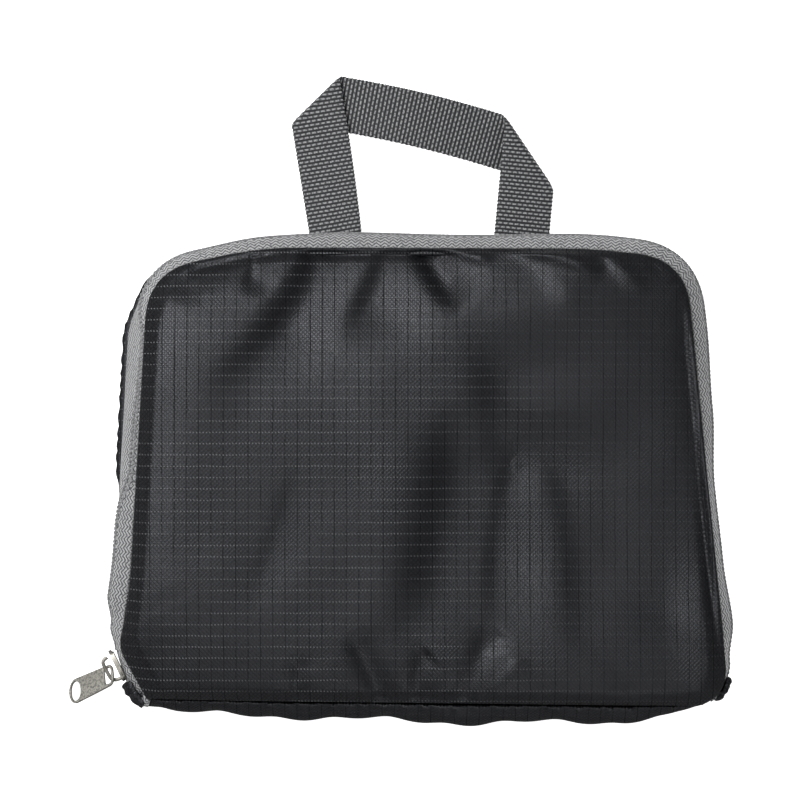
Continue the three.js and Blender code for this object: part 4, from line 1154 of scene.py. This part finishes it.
BRIDGE_LINE = [(-0.7, 0.31), (-0.55, 0.8), (0.03, 0.85), (0.53, 0.79), (0.75, 0.45), (0.8, -0.13)]
BRIDGE_SIDES, BRIDGE_SQUARENESS = 16, 0.6


def build_bridge(work):
    """The bent bar that holds the pull."""
    line = [(a * SLIDER_LENGTH / 2, PLATE_TOP + h * BRIDGE_HEIGHT) for a, h in BRIDGE_LINE]
    line = curved(line, closed=False, steps=7)
    turn = 2 * np.pi * (np.arange(BRIDGE_SIDES) + 0.5) / BRIDGE_SIDES
    across = np.sign(np.cos(turn)) * np.abs(np.cos(turn)) ** BRIDGE_SQUARENESS * BRIDGE_WIDTH / 2
    lift = np.sign(np.sin(turn)) * np.abs(np.sin(turn)) ** BRIDGE_SQUARENESS * BRIDGE_THICKNESS / 2
    rings = []
    for i, (x, z) in enumerate(line):
        run = unit(line[min(i + 1, len(line) - 1)] - line[max(i - 1, 0)])
        rings.append([work.verts.new((x - run[1] * up, side, z + run[0] * up)) for side, up in zip(across, lift)])
    for ring, following in zip(rings, rings[1:]):
        for k in range(BRIDGE_SIDES):
            j = (k + 1) % BRIDGE_SIDES
            work.faces.new([ring[k], ring[j], following[j], following[k]])
    work.faces.new(rings[0])
    work.faces.new(rings[-1][::-1])


metal_piece("slider_bridge", build_bridge, 0, (), POLISHED)


# The pull has its own frame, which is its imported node's place: an eye at one end and a finger hole at the other

EYE_NEAR = BRIDGE_THICKNESS / 2 + 0.65
EYE_LENGTH, EYE_WIDTH, EYE_CORNER = 4.2, 5.7, 1.3
FINGER_LENGTH, FINGER_WIDTH, FINGER_CORNER = 6, 7, 2.9
PULL_WALL = 1.1
PULL_NEAR = EYE_NEAR + PULL_WALL
PULL_NARROW, PULL_CORNER = 7.9, 2.6
PULL_BEVEL = 0.22
PULL_PLACE = Vector((-111.939, -71.928, 18.245))
PULL_AZIMUTH, PULL_ROLL, PULL_SLOPE = 207, 28, 44.25


def pull_matrix():
    """The pull's place and turn at rest."""
    turn = Matrix.Rotation(math.radians(PULL_AZIMUTH), 4, "Z") @ Matrix.Rotation(math.radians(PULL_SLOPE), 4, "Y")
    return Matrix.Translation(PULL_PLACE) @ turn @ Matrix.Rotation(math.radians(PULL_ROLL), 4, "X")


def arc(x, y, radius, start, steps, turn=90):
    """Points round a centre from an angle on, in degrees."""
    angles = np.radians(start + turn * np.arange(steps + 1) / steps)
    return [(x + radius * math.cos(angle), y + radius * math.sin(angle)) for angle in angles]


def pull_hole(start, length, width, corner, steps):
    """A hole's edge with round corners, grown by the plate's bevel; start is its near side."""
    near, far, side = start + corner, start + length - corner, width / 2 - corner
    centres = ((far, side), (near, side), (near, -side), (far, -side))
    return [point for i, (x, y) in enumerate(centres) for point in arc(x, y, corner + PULL_BEVEL, 90 * i, steps)]


def pull_outline():
    """The plate's edge, inside its bevel: one round end, and one narrower end with round corners."""
    near, side = PULL_CORNER - PULL_NEAR, PULL_NARROW / 2 - PULL_CORNER
    radius = PULL_WIDTH / 2
    line = arc(PULL_LENGTH - PULL_NEAR - radius, 0, radius - PULL_BEVEL, -90, 32, 180)
    line += arc(near, side, PULL_CORNER - PULL_BEVEL, 90, 8)
    return line + arc(near, -side, PULL_CORNER - PULL_BEVEL, 180, 8)


def pull_plate(outlines):
    """The plate with its holes and rounded edges, as a mesh."""
    curve = bpy.data.curves.new("zip_puller", "CURVE")
    curve.dimensions = "2D"
    curve.fill_mode = "BOTH"
    curve.extrude = PULL_THICKNESS / 2 - PULL_BEVEL
    curve.bevel_depth = PULL_BEVEL
    curve.bevel_resolution = 3
    for outline in outlines:
        spline = curve.splines.new("POLY")
        spline.points.add(len(outline) - 1)
        for point, (x, y) in zip(spline.points, outline):
            point.co = (x, y, 0, 1)
        spline.use_cyclic_u = True
    maker = add_object("zip_puller", curve)
    bpy.context.view_layer.update()
    mesh = bpy.data.meshes.new_from_object(maker)
    bpy.data.objects.remove(maker)
    return mesh


finger_start = PULL_LENGTH - PULL_NEAR - PULL_WALL - FINGER_LENGTH
eye = pull_hole(-EYE_NEAR, EYE_LENGTH, EYE_WIDTH, EYE_CORNER, 8)
finger = pull_hole(finger_start, FINGER_LENGTH, FINGER_WIDTH, FINGER_CORNER, 10)
pull_mesh = pull_plate([pull_outline(), eye, finger])
work = bmesh.new()
work.from_mesh(pull_mesh)
bmesh.ops.remove_doubles(work, verts=work.verts, dist=0.002)
bmesh.ops.recalc_face_normals(work, faces=work.faces)
for face in work.faces:
    flat = abs(face.normal.z) > 0.99
    face.material_index, face.smooth = int(flat), not flat
work.to_mesh(pull_mesh)
work.free()
pull_mesh.transform(Matrix.Scale(0.001, 4) @ pull_matrix())
pull_mesh.materials.append(POLISHED)
pull_mesh.materials.append(GRAINY)
add_piece("zip_puller", pull_mesh, "pull", ["zip_pull"])


# Floor

FLOOR_HALF, FLOOR_LEVEL = 3, -0.0002  # metres
corners = [(x * FLOOR_HALF, y * FLOOR_HALF, FLOOR_LEVEL) for x, y in ((-1, -1), (1, -1), (1, 1), (-1, 1))]
floor_mesh = bpy.data.meshes.new("floor")
floor_mesh.from_pydata(corners, [], [[0, 1, 2, 3]])
floor_look = Shader(
    "floor",
    Roughness=0.9,
    Specular_IOR_Level=0.1,
    Base_Color=(0.9, 0.9, 0.9, 1),
    Emission_Color=(1, 1, 1, 1),
    Emission_Strength=1.0,
)
floor_mesh.materials.append(floor_look.material)
floor = add_object("floor", floor_mesh)
floor.visible_glossy = False
